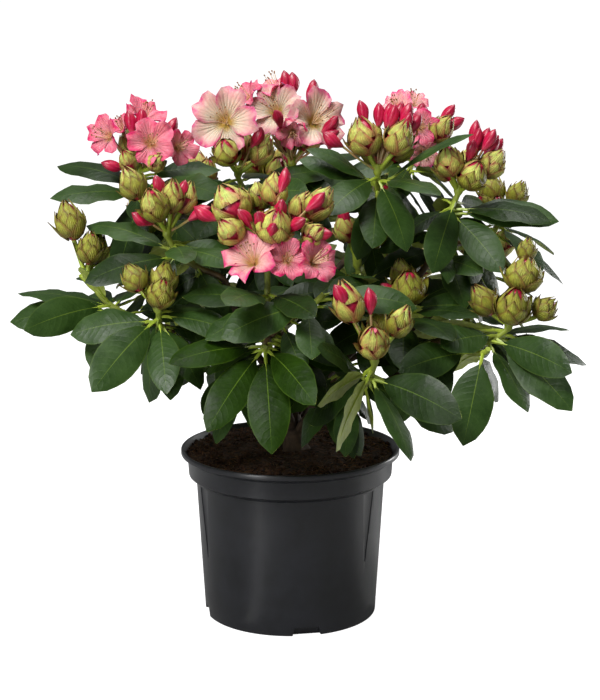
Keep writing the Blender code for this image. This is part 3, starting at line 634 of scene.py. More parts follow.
# %% Collect copies into one mesh
class Bundle:
    """Copies of shapes on their way to one joined mesh."""

    def __init__(self):
        self.points, self.corners, self.sizes, self.places, self.count = [], [], [], [], 0

    def add(self, shape, points):
        """One copy of a shape, its points already where they belong."""
        self.corners.append(shape.corners + self.count)
        self.points.append(points)
        self.sizes.append(shape.sizes)
        self.places.append(shape.places)
        self.count += len(points)

    def piece(self, name, finish, sharp=55):
        """The joined mesh as an object with this finish."""
        points, corners = np.concatenate(self.points), np.concatenate(self.corners)
        sizes, places = np.concatenate(self.sizes), np.concatenate(self.places)
        mesh = bpy.data.meshes.new(name)
        mesh.vertices.add(len(points))
        mesh.vertices.foreach_set("co", points.astype(np.float32).ravel())
        mesh.loops.add(len(corners))
        mesh.loops.foreach_set("vertex_index", corners.astype(np.int32))
        mesh.polygons.add(len(sizes))
        starts = np.concatenate([[0], np.cumsum(sizes)[:-1]]).astype(np.int32)
        mesh.polygons.foreach_set("loop_start", starts)
        mesh.update(calc_edges=True)
        mesh.uv_layers.new(name=MAP_NAME).uv.foreach_set("vector", places.astype(np.float32).ravel())
        mesh.validate()
        mesh.shade_smooth()
        mesh.set_sharp_from_angle(angle=math.radians(sharp))
        mesh.materials.append(finish)
        made = bpy.data.objects.new(name, mesh)
        bpy.context.scene.collection.objects.link(made)
        return made


print("bundles share the map", MAP_NAME)


# %% Tubes along a path
def rings_along(path, radii, sides, spin=0.0):
    """Rings of points square to a path, without twist."""
    path = [Vector(p) for p in path]
    side = (path[1] - path[0]).orthogonal().normalized()
    points = []
    for k, at in enumerate(path):
        ahead = (path[min(k + 1, len(path) - 1)] - path[max(k - 1, 0)]).normalized()
        side = (side - ahead * side.dot(ahead)).normalized()
        across = ahead.cross(side)
        for i in range(sides):
            turn = 2 * math.pi * i / sides + spin
            points.append(at + (side * math.cos(turn) + across * math.sin(turn)) * radii[k])
    return points


def band_faces(sides, rings, first=0):
    """The faces between each ring of points and the next, from the ring whose points start at first."""
    faces = []
    for a in range(first, first + (rings - 1) * sides, sides):
        for i in range(sides):
            j = (i + 1) % sides
            faces.append((a + i, a + j, a + sides + j, a + sides + i))
    return faces


def end_caps(sides, rings):
    """The flat faces that close a tube's two ends."""
    last = (rings - 1) * sides
    return [tuple(range(sides - 1, -1, -1)), tuple(range(last, last + sides))]


def as_array(points):
    return np.array([tuple(p) for p in points])


def tube_shape(sides, rings):
    """A closed tube's faces as a shape, mapped with its turn across and its length up. Each copy brings its
    own points."""
    corners = [corner for face in band_faces(sides, rings) + end_caps(sides, rings) for corner in face]
    sizes = [4] * (sides * (rings - 1)) + [sides, sides]
    places = []
    for k in range(rings - 1):
        low, high = k / (rings - 1), (k + 1) / (rings - 1)
        for i in range(sides):
            left, right = i / sides, (i + 1) / sides
            places += [(left, low), (right, low), (right, high), (left, high)]
    places += [(0.5, 0.01)] * sides + [(0.5, 0.99)] * sides
    return Shape((), corners, sizes, places)


TUBES = {}


def add_tube(bundle, path, radii, sides):
    """A closed tube along a path, put into a bundle."""
    key = (sides, len(path))
    if key not in TUBES:
        TUBES[key] = tube_shape(*key)
    bundle.add(TUBES[key], as_array(rings_along(path, radii, sides)))


print("a tube of 3 sides and 4 rings has", len(band_faces(3, 4)) + 2, "faces")

# %% Scatter crumbs and fibres on the peat
CRUMBS, FIBRES = 1500, 650
PEAT_EDGE = brim * 0.985
FULL_TURN = 6.28
rng = random.Random("peat")
bpy.ops.mesh.primitive_ico_sphere_add(subdivisions=1, radius=1)
crumb = read_shape(bpy.context.object)
crumbs, fibres = Bundle(), Bundle()


def on_peat(rng, keep_off=0.014):
    """A random place on the peat, clear of the stem's foot and just inside the rim."""
    while True:
        x, y = rng.uniform(-brim, brim), rng.uniform(-brim, brim)
        if keep_off < math.hypot(x, y) < PEAT_EDGE:
            return Vector((x, y, SOIL_LEVEL - 0.0002 + heap(x, y)))


for _ in range(CRUMBS):
    at = on_peat(rng)
    size = 0.0007 + 0.0022 * rng.random() ** 3
    stretch = np.array([rng.uniform(0.7, 1.6), rng.uniform(0.7, 1.3), rng.uniform(0.5, 1.0)]) * size
    spin, tip = rng.uniform(0, FULL_TURN), rng.uniform(0, 3.1)
    turn = np.array(Matrix.Rotation(spin, 3, "Z") @ Matrix.Rotation(tip, 3, "X"))
    rough = 1 + 0.25 * np.array([rng.uniform(-1, 1) for _ in crumb.points])[:, None]
    crumbs.add(crumb, (crumb.points * rough * stretch) @ turn.T + np.array(at) + np.array((0, 0, size * 0.4)))
for _ in range(FIBRES):
    at = on_peat(rng, 0.02)
    way = Vector((rng.uniform(-1, 1), rng.uniform(-1, 1), 0)).normalized()
    length = rng.uniform(0.004, 0.013)
    bow = Vector((-way.y, way.x, 0)) * rng.uniform(-0.4, 0.4) * length
    path = []
    for share in (0, 0.35, 0.7, 1):
        spot = at + way * length * (share - 0.5) + bow * share * (1 - share)
        if math.hypot(spot.x, spot.y) > PEAT_EDGE:
            spot *= PEAT_EDGE / math.hypot(spot.x, spot.y)
        spot.z = SOIL_LEVEL + 0.0002 + heap(spot.x, spot.y) + rng.uniform(0, 0.0012)
        path.append(spot)
    thick = rng.uniform(0.00018, 0.00042)
    add_tube(fibres, path, [thick * 0.6, thick, thick, thick * 0.4], 3)
print("crumbs and fibres:", len(crumbs.points), len(fibres.points))

# %% Give the peat its colours
peat_brown, shader, _mask = patchy_finish("damp_peat", 0.92, (20, 12, 6), (72, 46, 28), 260, 0.25)
add_grain(shader, 1500, 0.7, 0.0008)
fibre_tan, _shader, _mask = patchy_finish("peat_fibre", 0.85, (56, 36, 20), (120, 84, 52), 45, 0.3)
peat.data.materials.append(peat_brown)
finish_piece(peat, "peat", "soil")
finish_piece(crumbs.piece("peat_crumbs", peat_brown), "peat", "soil")
finish_piece(fibres.piece("peat_fibres", fibre_tan), "peat", "soil")

# %% [markdown]
# ## How the shrub grows
#
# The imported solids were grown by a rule: boughs fork from the stem, twigs go on from each bough's tip, and
# each shoot ends in a whorl of leaves below a truss of buds or blossom. The same rule is written out here,
# with the same seeds, because every fine leaf and bud has to lie where its plain solid lies. The tables give
# the boughs and the shoots, with the leaves and buds that stand out most, and the rule fills in the rest.

# %% The rule's sizes
GAP = 0.0003
CLEAR = 0.0006
STEM_TOP = 0.222
STEM_RADIUS = 0.0095
FLARE_RADIUS = 0.0165
BOUGH_SIDES = 6
TWIG_SIDES = 4
BOUGH_STEPS = 5
TWIG_STEPS = 4
TWIG_RADIUS = 0.0032
POT_SIDES = 30
LEAF_LENGTH = 0.09
LEAF_WIDTH = 0.41
LEAF_THICKNESS = 0.0013
LEAF_ARCH = 0.045
PETIOLE = 0.16
WHORL = 8
WHORL_DEPTH = 0.024
LEAF_TILT = 0.75
BACK_AXIS = 0.07
HUB_RADIUS = 0.0075
LEAST_REACH = 56

# The crown's space: no leaf that a rule places leaves this ellipsoid.
CROWN_MIDDLE = Vector((0.010, 0.010, 0.345))
CROWN_REACH = Vector((0.300, 0.290, 0.175))
print("a leaf is about", LEAF_LENGTH, "m long, and a whorl has", WHORL)

# %% The boughs
# Boughs: parent, how far along it, tip, radii at the foot and at the tip.
BOUGHS = {
    "bough_centre": ("trunk", 0.85, (-0.012, 0.020, 0.365), 0.0068, 0.0042),
    "bough_front": ("trunk", 0.50, (-0.018, -0.105, 0.292), 0.0048, 0.0038),
    "bough_left_low": ("trunk", 0.55, (-0.085, -0.042, 0.288), 0.0048, 0.0038),
    "bough_right_low": ("trunk", 0.48, (0.135, -0.092, 0.299), 0.0050, 0.0038),
    "bough_right": ("trunk", 0.72, (0.125, -0.010, 0.352), 0.0048, 0.0038),
    "bough_back_left": ("trunk", 0.50, (-0.085, 0.105, 0.305), 0.0048, 0.0038),
    "bough_back_right": ("trunk", 0.55, (0.092, 0.095, 0.302), 0.0048, 0.0038),
    "bough_left_mid": ("bough_front", 0.55, (-0.058, -0.078, 0.350), 0.0038, 0.0034),
    "bough_front_right": ("bough_front", 0.40, (0.045, -0.125, 0.262), 0.0038, 0.0034),
    "bough_left_inner": ("bough_left_low", 0.40, (-0.050, -0.066, 0.262), 0.0036, 0.0032),
    "bough_upper_left": ("bough_centre", 0.40, (-0.098, 0.028, 0.385), 0.0042, 0.0034),
    "bough_upper_right": ("bough_centre", 0.60, (0.078, 0.018, 0.400), 0.0042, 0.0034),
    "bough_low": ("trunk", 0.40, (0.042, -0.056, 0.258), 0.0036, 0.0032),
    "bough_mid_right": ("bough_right", 0.45, (0.078, -0.040, 0.305), 0.0038, 0.0032),
    "bough_back": ("bough_back_left", 0.30, (0.002, 0.110, 0.320), 0.0040, 0.0034),
    "bough_back_far_left": ("bough_back_left", 0.55, (-0.105, 0.062, 0.290), 0.0036, 0.0032),
    "bough_back_far_right": ("bough_back_right", 0.55, (0.140, 0.055, 0.300), 0.0036, 0.0032),
}
print(len(BOUGHS), "boughs")

# %% The shoots
# Shoots: bough, tip, lean of the tip as (heading, degrees off upright), length in mm of bare neck above the
# whorl, leaves as (heading, droop, length in mm, roll), truss pieces, and how many more buds a rule adds.
# A truss piece is E, a scaly bud (heading, degrees off upright, reach, width, length), P, a coloured bud
# (heading, degrees off upright, reach), or F, an open flower (heading, degrees off upright, reach, width, and
# the heading and degrees off upright that it faces).
SHOOTS = {
    "far_left": ("bough_left_low", (-0.184, -0.050, 0.341), (180, 40), 32,
        ((215, 10, 95, -54), (262, 35, 88, -34), (172, 12, 105, -4), (165, -4, 98, 23), (230, -47, 60),
         (70, -3, 70)),
        (("E", 180, 15, 62, 29, 42), ("E", 315, 10, 33, 24, 36)), 1),
    "left_low": ("bough_left_low", (-0.127, -0.130, 0.347), (240, 20), 6,
        ((229, 35, 108, -32), (280, 47, 88, -2), (120, 72, 102, 20), (309, 47, 88, -26)),
        (("E", 325, 20, 15, 26, 32), ("E", 165, 40, 36, 24, 30)), 1),
    "left_inner": ("bough_left_inner", (-0.077, -0.080, 0.292), (220, 25), 0,
        ((265, 45, 70), (200, 15, 60)), (), 0),
    "left_mid": ("bough_left_mid", (-0.120, -0.080, 0.412), (230, 12), 6,
        ((158, -6, 98, 23), (237, 46, 74), (322, 12, 85, -20), (50, 19, 85, -47)),
        (("E", 180, 35, 59, 26, 36), ("E", 245, 40, 40, 28, 38), ("E", 305, 15, 38, 24, 36),
         ("E", 20, 30, 39, 24, 34), ("P", 230, 15, 50), ("P", 5, 20, 45), ("P", 355, 60, 41),
         ("P", 210, 60, 34)), 1),
    "top_left": ("bough_upper_left", (-0.155, 0.020, 0.462), (170, 8), 4,
        ((155, -5, 100, 22), (41, 6, 97), (323, 5, 105), (203, 11, 98, -8), (221, 73, 110, -26)),
        (("F", 195, 45, 56, 36, 230, 72), ("F", 155, 25, 54, 26, 240, 35), ("F", 65, 15, 65, 38, 300, 35),
         ("F", 300, 40, 45, 42, 275, 75), ("F", 350, 60, 53, 32, 295, 80), ("P", 180, 10, 54),
         ("P", 310, 5, 56), ("P", 0, 35, 58), ("P", 200, 75, 32), ("E", 230, 50, 21, 20, 26),
         ("E", 315, 65, 30, 20, 24)), 2),
    "back_top_left": ("bough_upper_left", (-0.098, 0.105, 0.425), (120, 14), 4, (), (), 3),
    "top_centre_left": ("bough_centre", (-0.053, 0.000, 0.462), (265, 10), 4,
        ((127, 10, 90), (20, -3, 101)),
        (("F", 245, 30, 67, 66, 265, 78), ("E", 250, 50, 41, 28, 32), ("P", 315, 35, 51)), 3),
    "top_centre": ("bough_centre", (0.002, 0.050, 0.466), (60, 0), 4, (),
        (("F", 225, 25, 69, 50, 255, 65), ("F", 310, 35, 63, 50, 290, 70), ("F", 270, 45, 48, 28, 270, 100),
         ("F", 155, 15, 88, 36, 200, 25), ("F", 180, 35, 92, 34, 210, 50), ("P", 250, 40, 69),
         ("P", 345, 15, 82), ("P", 180, 5, 88), ("P", 0, 0, 86), ("P", 335, 55, 55), ("P", 335, 45, 64)), 3),
    "top_right": ("bough_upper_right", (0.088, -0.040, 0.469), (280, 6), 4,
        ((264, 44, 90), (298, 51, 89), (309, 5, 91), (235, 17, 95), (146, -4, 90, 26), (344, -27, 105, -23)),
        (("E", 210, 25, 40, 34, 41), ("E", 325, 35, 44, 28, 39), ("P", 180, 15, 64), ("P", 85, 5, 59),
         ("P", 5, 10, 60), ("P", 15, 20, 64), ("P", 350, 25, 67)), 2),
    "top_back": ("bough_upper_right", (0.130, 0.090, 0.472), (60, 8), 4, (),
        (("F", 195, 20, 59, 30, 240, 50), ("F", 85, 5, 60, 30, 280, 30), ("F", 285, 40, 42, 34, 270, 80),
         ("F", 295, 90, 28, 28, 280, 110), ("P", 310, 15, 48), ("E", 332, 50, 45, 26, 34), ("P", 0, 40, 59),
         ("P", 0, 55, 57)), 3),
    "right": ("bough_right", (0.169, -0.030, 0.448), (350, 12), 4,
        ((240, 53, 90), (309, 46, 95, 43), (351, 11, 104, 10), (348, 24, 98, -1)),
        (("E", 235, 30, 38, 28, 35), ("E", 305, 50, 30, 31, 34), ("E", 350, 50, 45, 26, 34),
         ("P", 20, 15, 64), ("P", 0, 25, 61), ("P", 0, 35, 59), ("P", 300, 25, 50)), 2),
    "right_back": ("bough_right", (0.222, 0.060, 0.407), (30, 20), 4, ((344, 39, 94, 1),),
        (("E", 210, 55, 26, 22, 30), ("E", 250, 40, 18, 22, 30), ("E", 15, 35, 32, 22, 30)), 1),
    "right_low": ("bough_right_low", (0.216, -0.080, 0.319), (10, 25), 6,
        ((159, 6, 100, 69), (226, 15, 88), (286, 47, 93, -20), (311, 36, 110, 26), (307, 16, 96, 53),
         (16, 23, 98, -14), (31, 4, 90, -38)),
        (("E", 280, 35, 28, 34, 42), ("E", 0, 15, 53, 36, 38), ("E", 0, 65, 40, 24, 28),
         ("E", 30, 15, 77, 18, 26)), 1),
    "right_under": ("bough_right_low", (0.193, -0.120, 0.306), (300, 40), 0,
        ((250, 44, 105), (65, 49, 80)), (), 0),
    "front_right": ("bough_front_right", (0.081, -0.170, 0.303), (250, 6), 8,
        ((227, 16, 85, 92), (236, 42, 100, 101), (319, 19, 106, 40), (21, 39, 113), (302, 38, 108, -41),
         (73, 50, 94), (95, 53, 100), (129, 50, 104), (225, -10, 72)),
        (("E", 190, 25, 61, 29, 44), ("E", 265, 45, 28, 28, 38), ("E", 0, 35, 43, 24, 34), ("P", 205, 30, 75),
         ("P", 175, 5, 58)), 1),
    "mid_right": ("bough_mid_right", (0.119, -0.060, 0.338), (320, 8), 4,
        ((58, -8, 90), (150, 6, 88)),
        (("E", 265, 30, 22, 34, 39), ("P", 205, 55, 30)), 1),
    "inner_right": ("bough_mid_right", (0.069, -0.030, 0.373), (240, 10), 10,
        ((218, -2, 90), (68, 38, 80)),
        (("E", 195, 20, 35, 24, 34), ("P", 205, 20, 49)), 1),
    "low_right": ("bough_low", (0.058, -0.084, 0.284), (310, 35), 0,
        ((204, 56, 94, 35), (262, 70, 80, -40), (216, 31, 95, 18)), (), 0),
    "centre": ("bough_front", (-0.021, -0.140, 0.371), (90, 0), 40,
        ((170, 5, 85),),
        (("E", 170, 40, 55, 38, 42), ("E", 70, 20, 58, 26, 34), ("E", 110, 30, 54, 22, 30),
         ("E", 10, 50, 66, 27, 38), ("E", 30, 45, 54, 24, 32), ("E", 290, 40, 34, 36, 36),
         ("E", 203, 62, 43, 27, 30), ("E", 340, 70, 50, 22, 24), ("P", 300, 30, 49), ("P", 280, 55, 43),
         ("P", 320, 55, 48), ("P", 200, 40, 65), ("P", 215, 40, 43), ("P", 255, 40, 42), ("P", 355, 45, 68),
         ("P", 30, 15, 70), ("P", 345, 75, 57), ("P", 180, 60, 71), ("F", 240, 90, 36, 50, 255, 75),
         ("F", 300, 95, 40, 34, 275, 72), ("F", 330, 95, 57, 38, 350, 85)), 0),
    "centre_low": ("bough_front", (-0.024, -0.160, 0.316), (270, 30), 0,
        ((277, 53, 105), (234, 40, 100, -19), (300, 19, 95, 24), (200, 3, 95)), (), 0),
    "centre_side": ("bough_front", (0.030, -0.152, 0.366), (20, 50), 0,
        ((201, 17, 105), (48, -6, 72), (300, 30, 85), (260, 45, 70)), (), 0),
    "back_left": ("bough_back_left", (-0.150, 0.130, 0.385), (140, 18), 4, (), (), 3),
    "back_low_left": ("bough_back_left", (-0.105, 0.195, 0.325), (115, 28), 4, (), (), 3),
    "back": ("bough_back", (-0.022, 0.125, 0.432), (90, 6), 4, (), (), 4),
    "back_low": ("bough_back", (0.020, 0.200, 0.362), (80, 20), 4, (), (), 3),
    "back_right": ("bough_back_right", (0.078, 0.158, 0.402), (60, 12), 4, (), (), 3),
    "back_low_right": ("bough_back_right", (0.132, 0.200, 0.318), (55, 28), 0, (), (), 3),
    "back_far_left": ("bough_back_far_left", (-0.165, 0.072, 0.345), (160, 25), 0, (), (), 0),
    "back_far_right": ("bough_back_far_right", (0.215, 0.125, 0.345), (30, 25), 4, (), (), 2),
    "right_deep": ("bough_back_far_right", (0.200, 0.035, 0.300), (0, 30), 0, (), (), 0),
}
Shoot = namedtuple("Shoot", "bough tip lean neck leaves truss more")
SHOOTS = {name: Shoot(*row) for name, row in SHOOTS.items()}
print(len(SHOOTS), "shoots")

# %% [markdown]
# A limb is a smooth path between two points with a direction at each end. The stem's path rises from the
# soil, each bough leaves its parent and turns upwards, and each shoot's twig goes on from the bough's tip.


# %% Draw a path between two points
def aim(heading, off_upright):
    """The unit vector with this heading, 0 along +X and 90 along +Y, and this angle off upright."""
    h = math.radians(heading)
    o = math.radians(off_upright)
    return Vector((math.sin(o) * math.cos(h), math.sin(o) * math.sin(h), math.cos(o)))


def bend(start, leaving, end, arriving, count):
    """A smooth path between two points with a direction at each."""
    span = (end - start).length
    first = start + leaving * span * 0.36
    second = end - arriving * span * 0.36
    path = []
    for k in range(count + 1):
        t = k / count
        u = 1 - t
        path.append(start * u**3 + first * 3 * u * u * t + second * 3 * u * t * t + end * t**3)
    return path


def along(path, share):
    """The point at this share of a path, and the path's direction there."""
    spot = share * (len(path) - 1)
    k = min(int(spot), len(path) - 2)
    step = path[k + 1] - path[k]
    return path[k] + step * (spot - k), step.normalized()


def down_path(path, distance):
    """The point this far along a path from its start."""
    for here, there in zip(path, path[1:]):
        step = (there - here).length
        if distance <= step:
            break
        distance -= step
    return here + (there - here) * (distance / step)


print("a path from the soil to the stem's top is", round(STEM_TOP - SOIL_LEVEL, 4), "m high")


# %% Paths of the stem and the boughs
def stem_path():
    foot = SOIL_LEVEL + GAP
    path = []
    for share in (0, 0.12, 0.35, 0.7, 1.0):
        path.append(Vector((0.006 * (1 - share), 0.003 * (1 - share), foot + (STEM_TOP - foot) * share)))
    return path


def limb_paths():
    """Every bough's path and radii, its parent's first."""
    paths = {"trunk": (stem_path(), [0.0125, 0.0115, 0.0105, STEM_RADIUS, STEM_RADIUS])}
    for name, (parent, share, tip, foot_radius, tip_radius) in BOUGHS.items():
        tip = Vector(tip)
        start, onward = along(paths[parent][0], share)
        way = (tip - start).normalized()
        flat = Vector((way.x, way.y, 0))
        leaving = (onward * 0.4 + way * 0.8).normalized()
        arriving = (way + Vector((0, 0, 0.55)) + flat * 0.1).normalized()
        path = bend(start, leaving, tip, arriving, BOUGH_STEPS)
        radii = [foot_radius + (tip_radius - foot_radius) * k / BOUGH_STEPS for k in range(BOUGH_STEPS + 1)]
        paths[name] = (path, radii)
    return paths


limbs = limb_paths()
print("limbs:", len(limbs))


# %% Paths of the twigs
def has_truss(name):
    return bool(SHOOTS[name].truss or SHOOTS[name].more)


def twig_paths(bough, paths):
    """The twigs of one mass: the first goes on from the bough's tip, and the others branch from it."""
    path, radii = paths[bough]
    tip, onward = path[-1], (path[-1] - path[-2]).normalized()
    twigs = {}
    for name, shoot in SHOOTS.items():
        if shoot.bough != bough:
            continue
        rng = random.Random(name)
        whorl = Vector(shoot.tip)
        facing = aim(*shoot.lean)
        if twigs:
            start, ahead = along(trunk_twig, 0.22)
            leaving = (ahead * 0.5 + (whorl - start).normalized()).normalized()
        else:
            start, leaving = tip + onward * GAP, onward
        arriving = (facing + (whorl - start).normalized() * 0.6).normalized()
        path = bend(start, leaving, whorl, arriving, TWIG_STEPS)
        for k in (2, 3):
            path[k] = path[k] + Vector([rng.uniform(-0.0025, 0.0025) for _ in range(3)])
        if not twigs:
            trunk_twig = path
            path[1] = path[0] + onward * (path[1] - path[0]).length
        width = radii[-1] if not twigs else TWIG_RADIUS
        spread = [width + (TWIG_RADIUS * 0.9 - width) * k / (len(path) - 1) for k in range(len(path))]
        base = whorl + facing * max(shoot.neck / 1000, 0.004)
        if has_truss(name):
            if shoot.neck > 20:
                path.append(base - facing * 0.012)
                spread.append(TWIG_RADIUS)
            path += [base - facing * 0.001, base + facing * 0.008]
            spread += [HUB_RADIUS, HUB_RADIUS * 0.6]
        else:
            path.append(base)
            spread.append(TWIG_RADIUS * 0.9)
        twigs[name] = (path, spread)
    return twigs


twigs = {name: twig for bough in BOUGHS for name, twig in twig_paths(bough, limbs).items()}
print("twigs:", len(twigs))

# %% [markdown]
# Each thing that grows also has a plain solid of its own: a tube, a leaf with a keel, a bud or a funnel.
# These are never shown. They say what space a thing takes, so that the next one can be kept clear of it.


# %% Plain solids of the limbs and the pot
def tube(path, radii, sides, spin=0.0):
    """A closed tube along a path, a flat cap at each end."""
    return rings_along(path, radii, sides, spin), band_faces(sides, len(path)) + end_caps(sides, len(path))


def trunk_rings(path):
    """The short stem's level rings: a flare with five roots below, and round above."""
    sides = 15
    points = []
    spreads = (FLARE_RADIUS, FLARE_RADIUS * 0.82, 0.0116, STEM_RADIUS * 1.04, STEM_RADIUS)
    for at, spread, lobe in zip(path, spreads, (0.16, 0.10, 0.03, 0, 0)):
        for i in range(sides):
            turn = 2 * math.pi * i / sides
            reach = spread * (1 + lobe * math.cos(5 * turn))
            points.append(at + Vector((math.cos(turn), math.sin(turn), 0)) * reach)
    return points, band_faces(sides, 5) + end_caps(sides, 5)


def turned(profile, sides):
    """A solid of revolution from (radius, height) points that start and end on the axis."""
    points = [Vector((0, 0, profile[0][1])), Vector((0, 0, profile[-1][1]))]
    rings = profile[1:-1]
    for radius, height in rings:
        for i in range(sides):
            turn = 2 * math.pi * i / sides
            points.append(Vector((radius * math.cos(turn), radius * math.sin(turn), height)))
    faces = band_faces(sides, len(rings), 2)
    last = 2 + (len(rings) - 1) * sides
    for i in range(sides):
        j = (i + 1) % sides
        faces += [(0, 2 + j, 2 + i), (1, last + i, last + j)]
    return points, faces


print("the stem's plain solid has", len(trunk_rings(stem_path())[0]), "points")


# %% A leaf's plain solid
def leaf_frame(root, tip, roll):
    """The leaf's direction, upper-face normal and side. Its upper face looks up and out of the crown, and is
    then rolled about its length."""
    ahead = (tip - root).normalized()
    out = Vector((root.x * 0.45, root.y - BACK_AXIS, 0)).normalized()
    look = Vector((0, 0, 1)) + out * LEAF_TILT
    normal = (look - ahead * ahead.dot(look)).normalized()
    turn = Matrix.Rotation(math.radians(roll), 3, ahead)
    normal = turn @ normal
    return ahead, normal, ahead.cross(normal)


def leaf_solid(root, tip, width, roll, swell=0.0, blade_only=False):
    """A leaf as a flat-topped blade with a keel below, on a stalk drawn to a point inside the twig."""
    ahead, normal, side = leaf_frame(root, tip, roll)
    span = (tip - root).length
    points = [root + ahead * span * PETIOLE * 0.9 if blade_only else root - ahead * 0.0018]
    for share, half, deep in ((PETIOLE, 0.0021, 0.0026), (0.38, 0.46 * width, 0), (0.72, 0.48 * width, 0)):
        at = root + ahead * span * share + Vector((0, 0, 1)) * (4 * LEAF_ARCH * span * share * (1 - share))
        half += swell
        deep = (deep or LEAF_THICKNESS) + swell
        points += [at + side * half + normal * swell, at - side * half + normal * swell, at - normal * deep]
    points.append(tip + ahead * swell)
    faces = [(0, 1, 2), (0, 2, 3), (0, 3, 1), (7, 10, 8), (8, 10, 9), (9, 10, 7)]
    for a in (1, 4):
        for i in range(3):
            j = (i + 1) % 3
            faces.append((a + i, a + 3 + i, a + 3 + j, a + j))
    return points, faces


print("a leaf's plain solid has", len(leaf_solid(Vector(), Vector((0.09, 0, 0)), 0.037, 0)[0]), "points")


# %% Plain solids of buds and flowers
def spindle(stations, sides):
    """A closed body along (point, radius) stations, drawn to a point at each end."""
    points = rings_along([s[0] for s in stations], [s[1] for s in stations], sides)[sides:-sides]
    last, foot = len(points) - sides, len(points)
    faces = band_faces(sides, len(stations) - 2)
    for i in range(sides):
        j = (i + 1) % sides
        faces += [(j, i, foot), (last + i, last + j, foot + 1)]
    return points + [stations[0][0], stations[-1][0]], faces


def scaly_bud(base, heading, off, reach, width, length, swell=0.0):
    """An egg-shaped bud of overlapping scales that rises from the truss's base."""
    out = aim(heading, off)
    centre = base + out * reach / 1000
    up = (out + Vector((0, 0, 0.4))).normalized()
    half = width / 2000 + swell
    stations = [(base - out * 0.003, 0)]
    low = centre - up * length / 2000
    if (low - base).length > 0.016:
        stations.append((low, half * 0.34))
    stations += [
        (centre - up * length * 0.00020, half * 0.92),
        (centre + up * length * 0.00014, half * 0.86),
        (centre + up * (length * 0.0005 + swell), 0),
    ]
    return spindle(stations, 5)


def coloured_bud(base, heading, off, reach, swell=0.0):
    """A closed flower bud: a slim stalk that swells to the bud and comes to a point."""
    out = aim(heading, off)
    tip = base + out * (reach / 1000 + 0.011 + swell)
    length = min(0.025, reach / 1000 + 0.005)
    stations = [(base - out * 0.003, 0), (tip - out * length * 0.45, 0.0054 + swell), (tip, 0)]
    if reach > 40:
        stations.insert(1, (tip - out * length, 0.0022 + swell))
    return spindle(stations, 4)


def open_flower(base, heading, off, reach, width, face_heading, face_off, swell=0.0):
    """A funnel flower: a stalk drawn to a point at the truss, a rim with five lobes and a sunken throat."""
    facing = aim(face_heading, face_off)
    centre = base + aim(heading, off) * reach / 1000
    radius = width / 2000 + swell
    side = facing.orthogonal().normalized()
    across = facing.cross(side)
    neck = centre - facing * radius * 0.85
    points = [base - (neck - base).normalized() * 0.003]
    for i in range(5):
        turn = 2 * math.pi * i / 5
        points.append(neck + (side * math.cos(turn) + across * math.sin(turn)) * 0.0038)
    for i in range(10):
        turn = 2 * math.pi * i / 10
        lobe = radius * (1.0 if i % 2 == 0 else 0.84)
        points.append(centre + (side * math.cos(turn) + across * math.sin(turn)) * lobe)
    points.append(centre - facing * radius * 0.42)
    faces = []
    for i in range(5):
        j = (i + 1) % 5
        a, b, c = 6 + 2 * i, 7 + 2 * i, 6 + (2 * i + 2) % 10
        faces += [(0, 1 + j, 1 + i), (1 + i, b, a), (1 + i, 1 + j, b), (1 + j, c, b), (a, b, 16), (b, c, 16)]
    return points, faces


def truss_solid(base, piece, swell=0.0):
    kind, *sizes = piece
    maker = {"E": scaly_bud, "P": coloured_bud, "F": open_flower}[kind]
    return maker(base, *sizes, swell=swell)


print("a furled bud's plain solid has", len(coloured_bud(Vector(), 0, 0, 50)[0]), "points")


# %% Keep each new thing clear of those that stand
def box_of(points):
    """The lowest and the highest corner of some points."""
    return [[end(p[k] for p in points) for k in range(3)] for end in (min, max)]


class Crown:
    """The solids that stand in the crown, each with its owner, so that new ones can keep clear of them."""

    def __init__(self):
        self.standing = []

    def add(self, solid, owner):
        self.standing.append((*box_of(solid[0]), BVHTree.FromPolygons(*solid), owner))

    def touches(self, solid, wanted):
        """Whether this solid crosses one that stands already, among those whose owners are wanted."""
        low, high = box_of(solid[0])
        tree = None
        for other_low, other_high, other, owner in self.standing:
            if not wanted(owner):
                continue
            if any(low[k] > other_high[k] or high[k] < other_low[k] for k in range(3)):
                continue
            tree = tree or BVHTree.FromPolygons(*solid)
            if tree.overlap(other):
                return True
        return False


print("ready to keep things clear of each other")


# %% Grow a truss
def widest_gap(headings, rng):
    """A heading that parts the widest gap between those in use."""
    if not headings:
        return rng.uniform(0, 360)
    ring = sorted(h % 360 for h in headings)
    gaps = [((ring[(k + 1) % len(ring)] - h) % 360 or 360, h) for k, h in enumerate(ring)]
    gap, start = max(gaps)
    return (start + gap * rng.uniform(0.42, 0.58)) % 360


def inside_crown(point):
    off = point - CROWN_MIDDLE
    return sum((off[k] / CROWN_REACH[k]) ** 2 for k in range(3)) < 1


def grow_truss(name, crown):
    """The truss pieces of one shoot: those laid down for it, then scaly buds and a bud in colour round it."""
    shoot = SHOOTS[name]
    rng = random.Random(name + " truss")
    base = Vector(shoot.tip) + aim(*shoot.lean) * max(shoot.neck, 4) / 1000
    pieces = list(shoot.truss)
    used = [p[1] for p in pieces if p[0] != "P"]
    for k in range(shoot.more):
        turn = widest_gap(used, rng)
        used.append(turn)
        pieces.append(("E", round(turn), rng.randint(28, 48), rng.randint(30, 38), 26, 36))
        if k % 2 == 0:
            pieces.append(("P", round(turn + rng.uniform(-30, 30)), rng.randint(10, 35), rng.randint(44, 54)))
    if not pieces:
        pieces.append(("P", 0, 0, 6))
    pieces = [p for p in pieces if p[0] != "P" or p[3] >= LEAST_REACH or not has_truss(name)]
    solids = [(piece, truss_solid(base, piece, CLEAR)) for piece in pieces]
    kept = [pair for pair in solids if not crown.touches(pair[1], lambda owner: owner != shoot.bough)]
    for _piece, solid in kept:
        crown.add(solid, shoot.bough)
    return base, [piece for piece, _solid in kept]


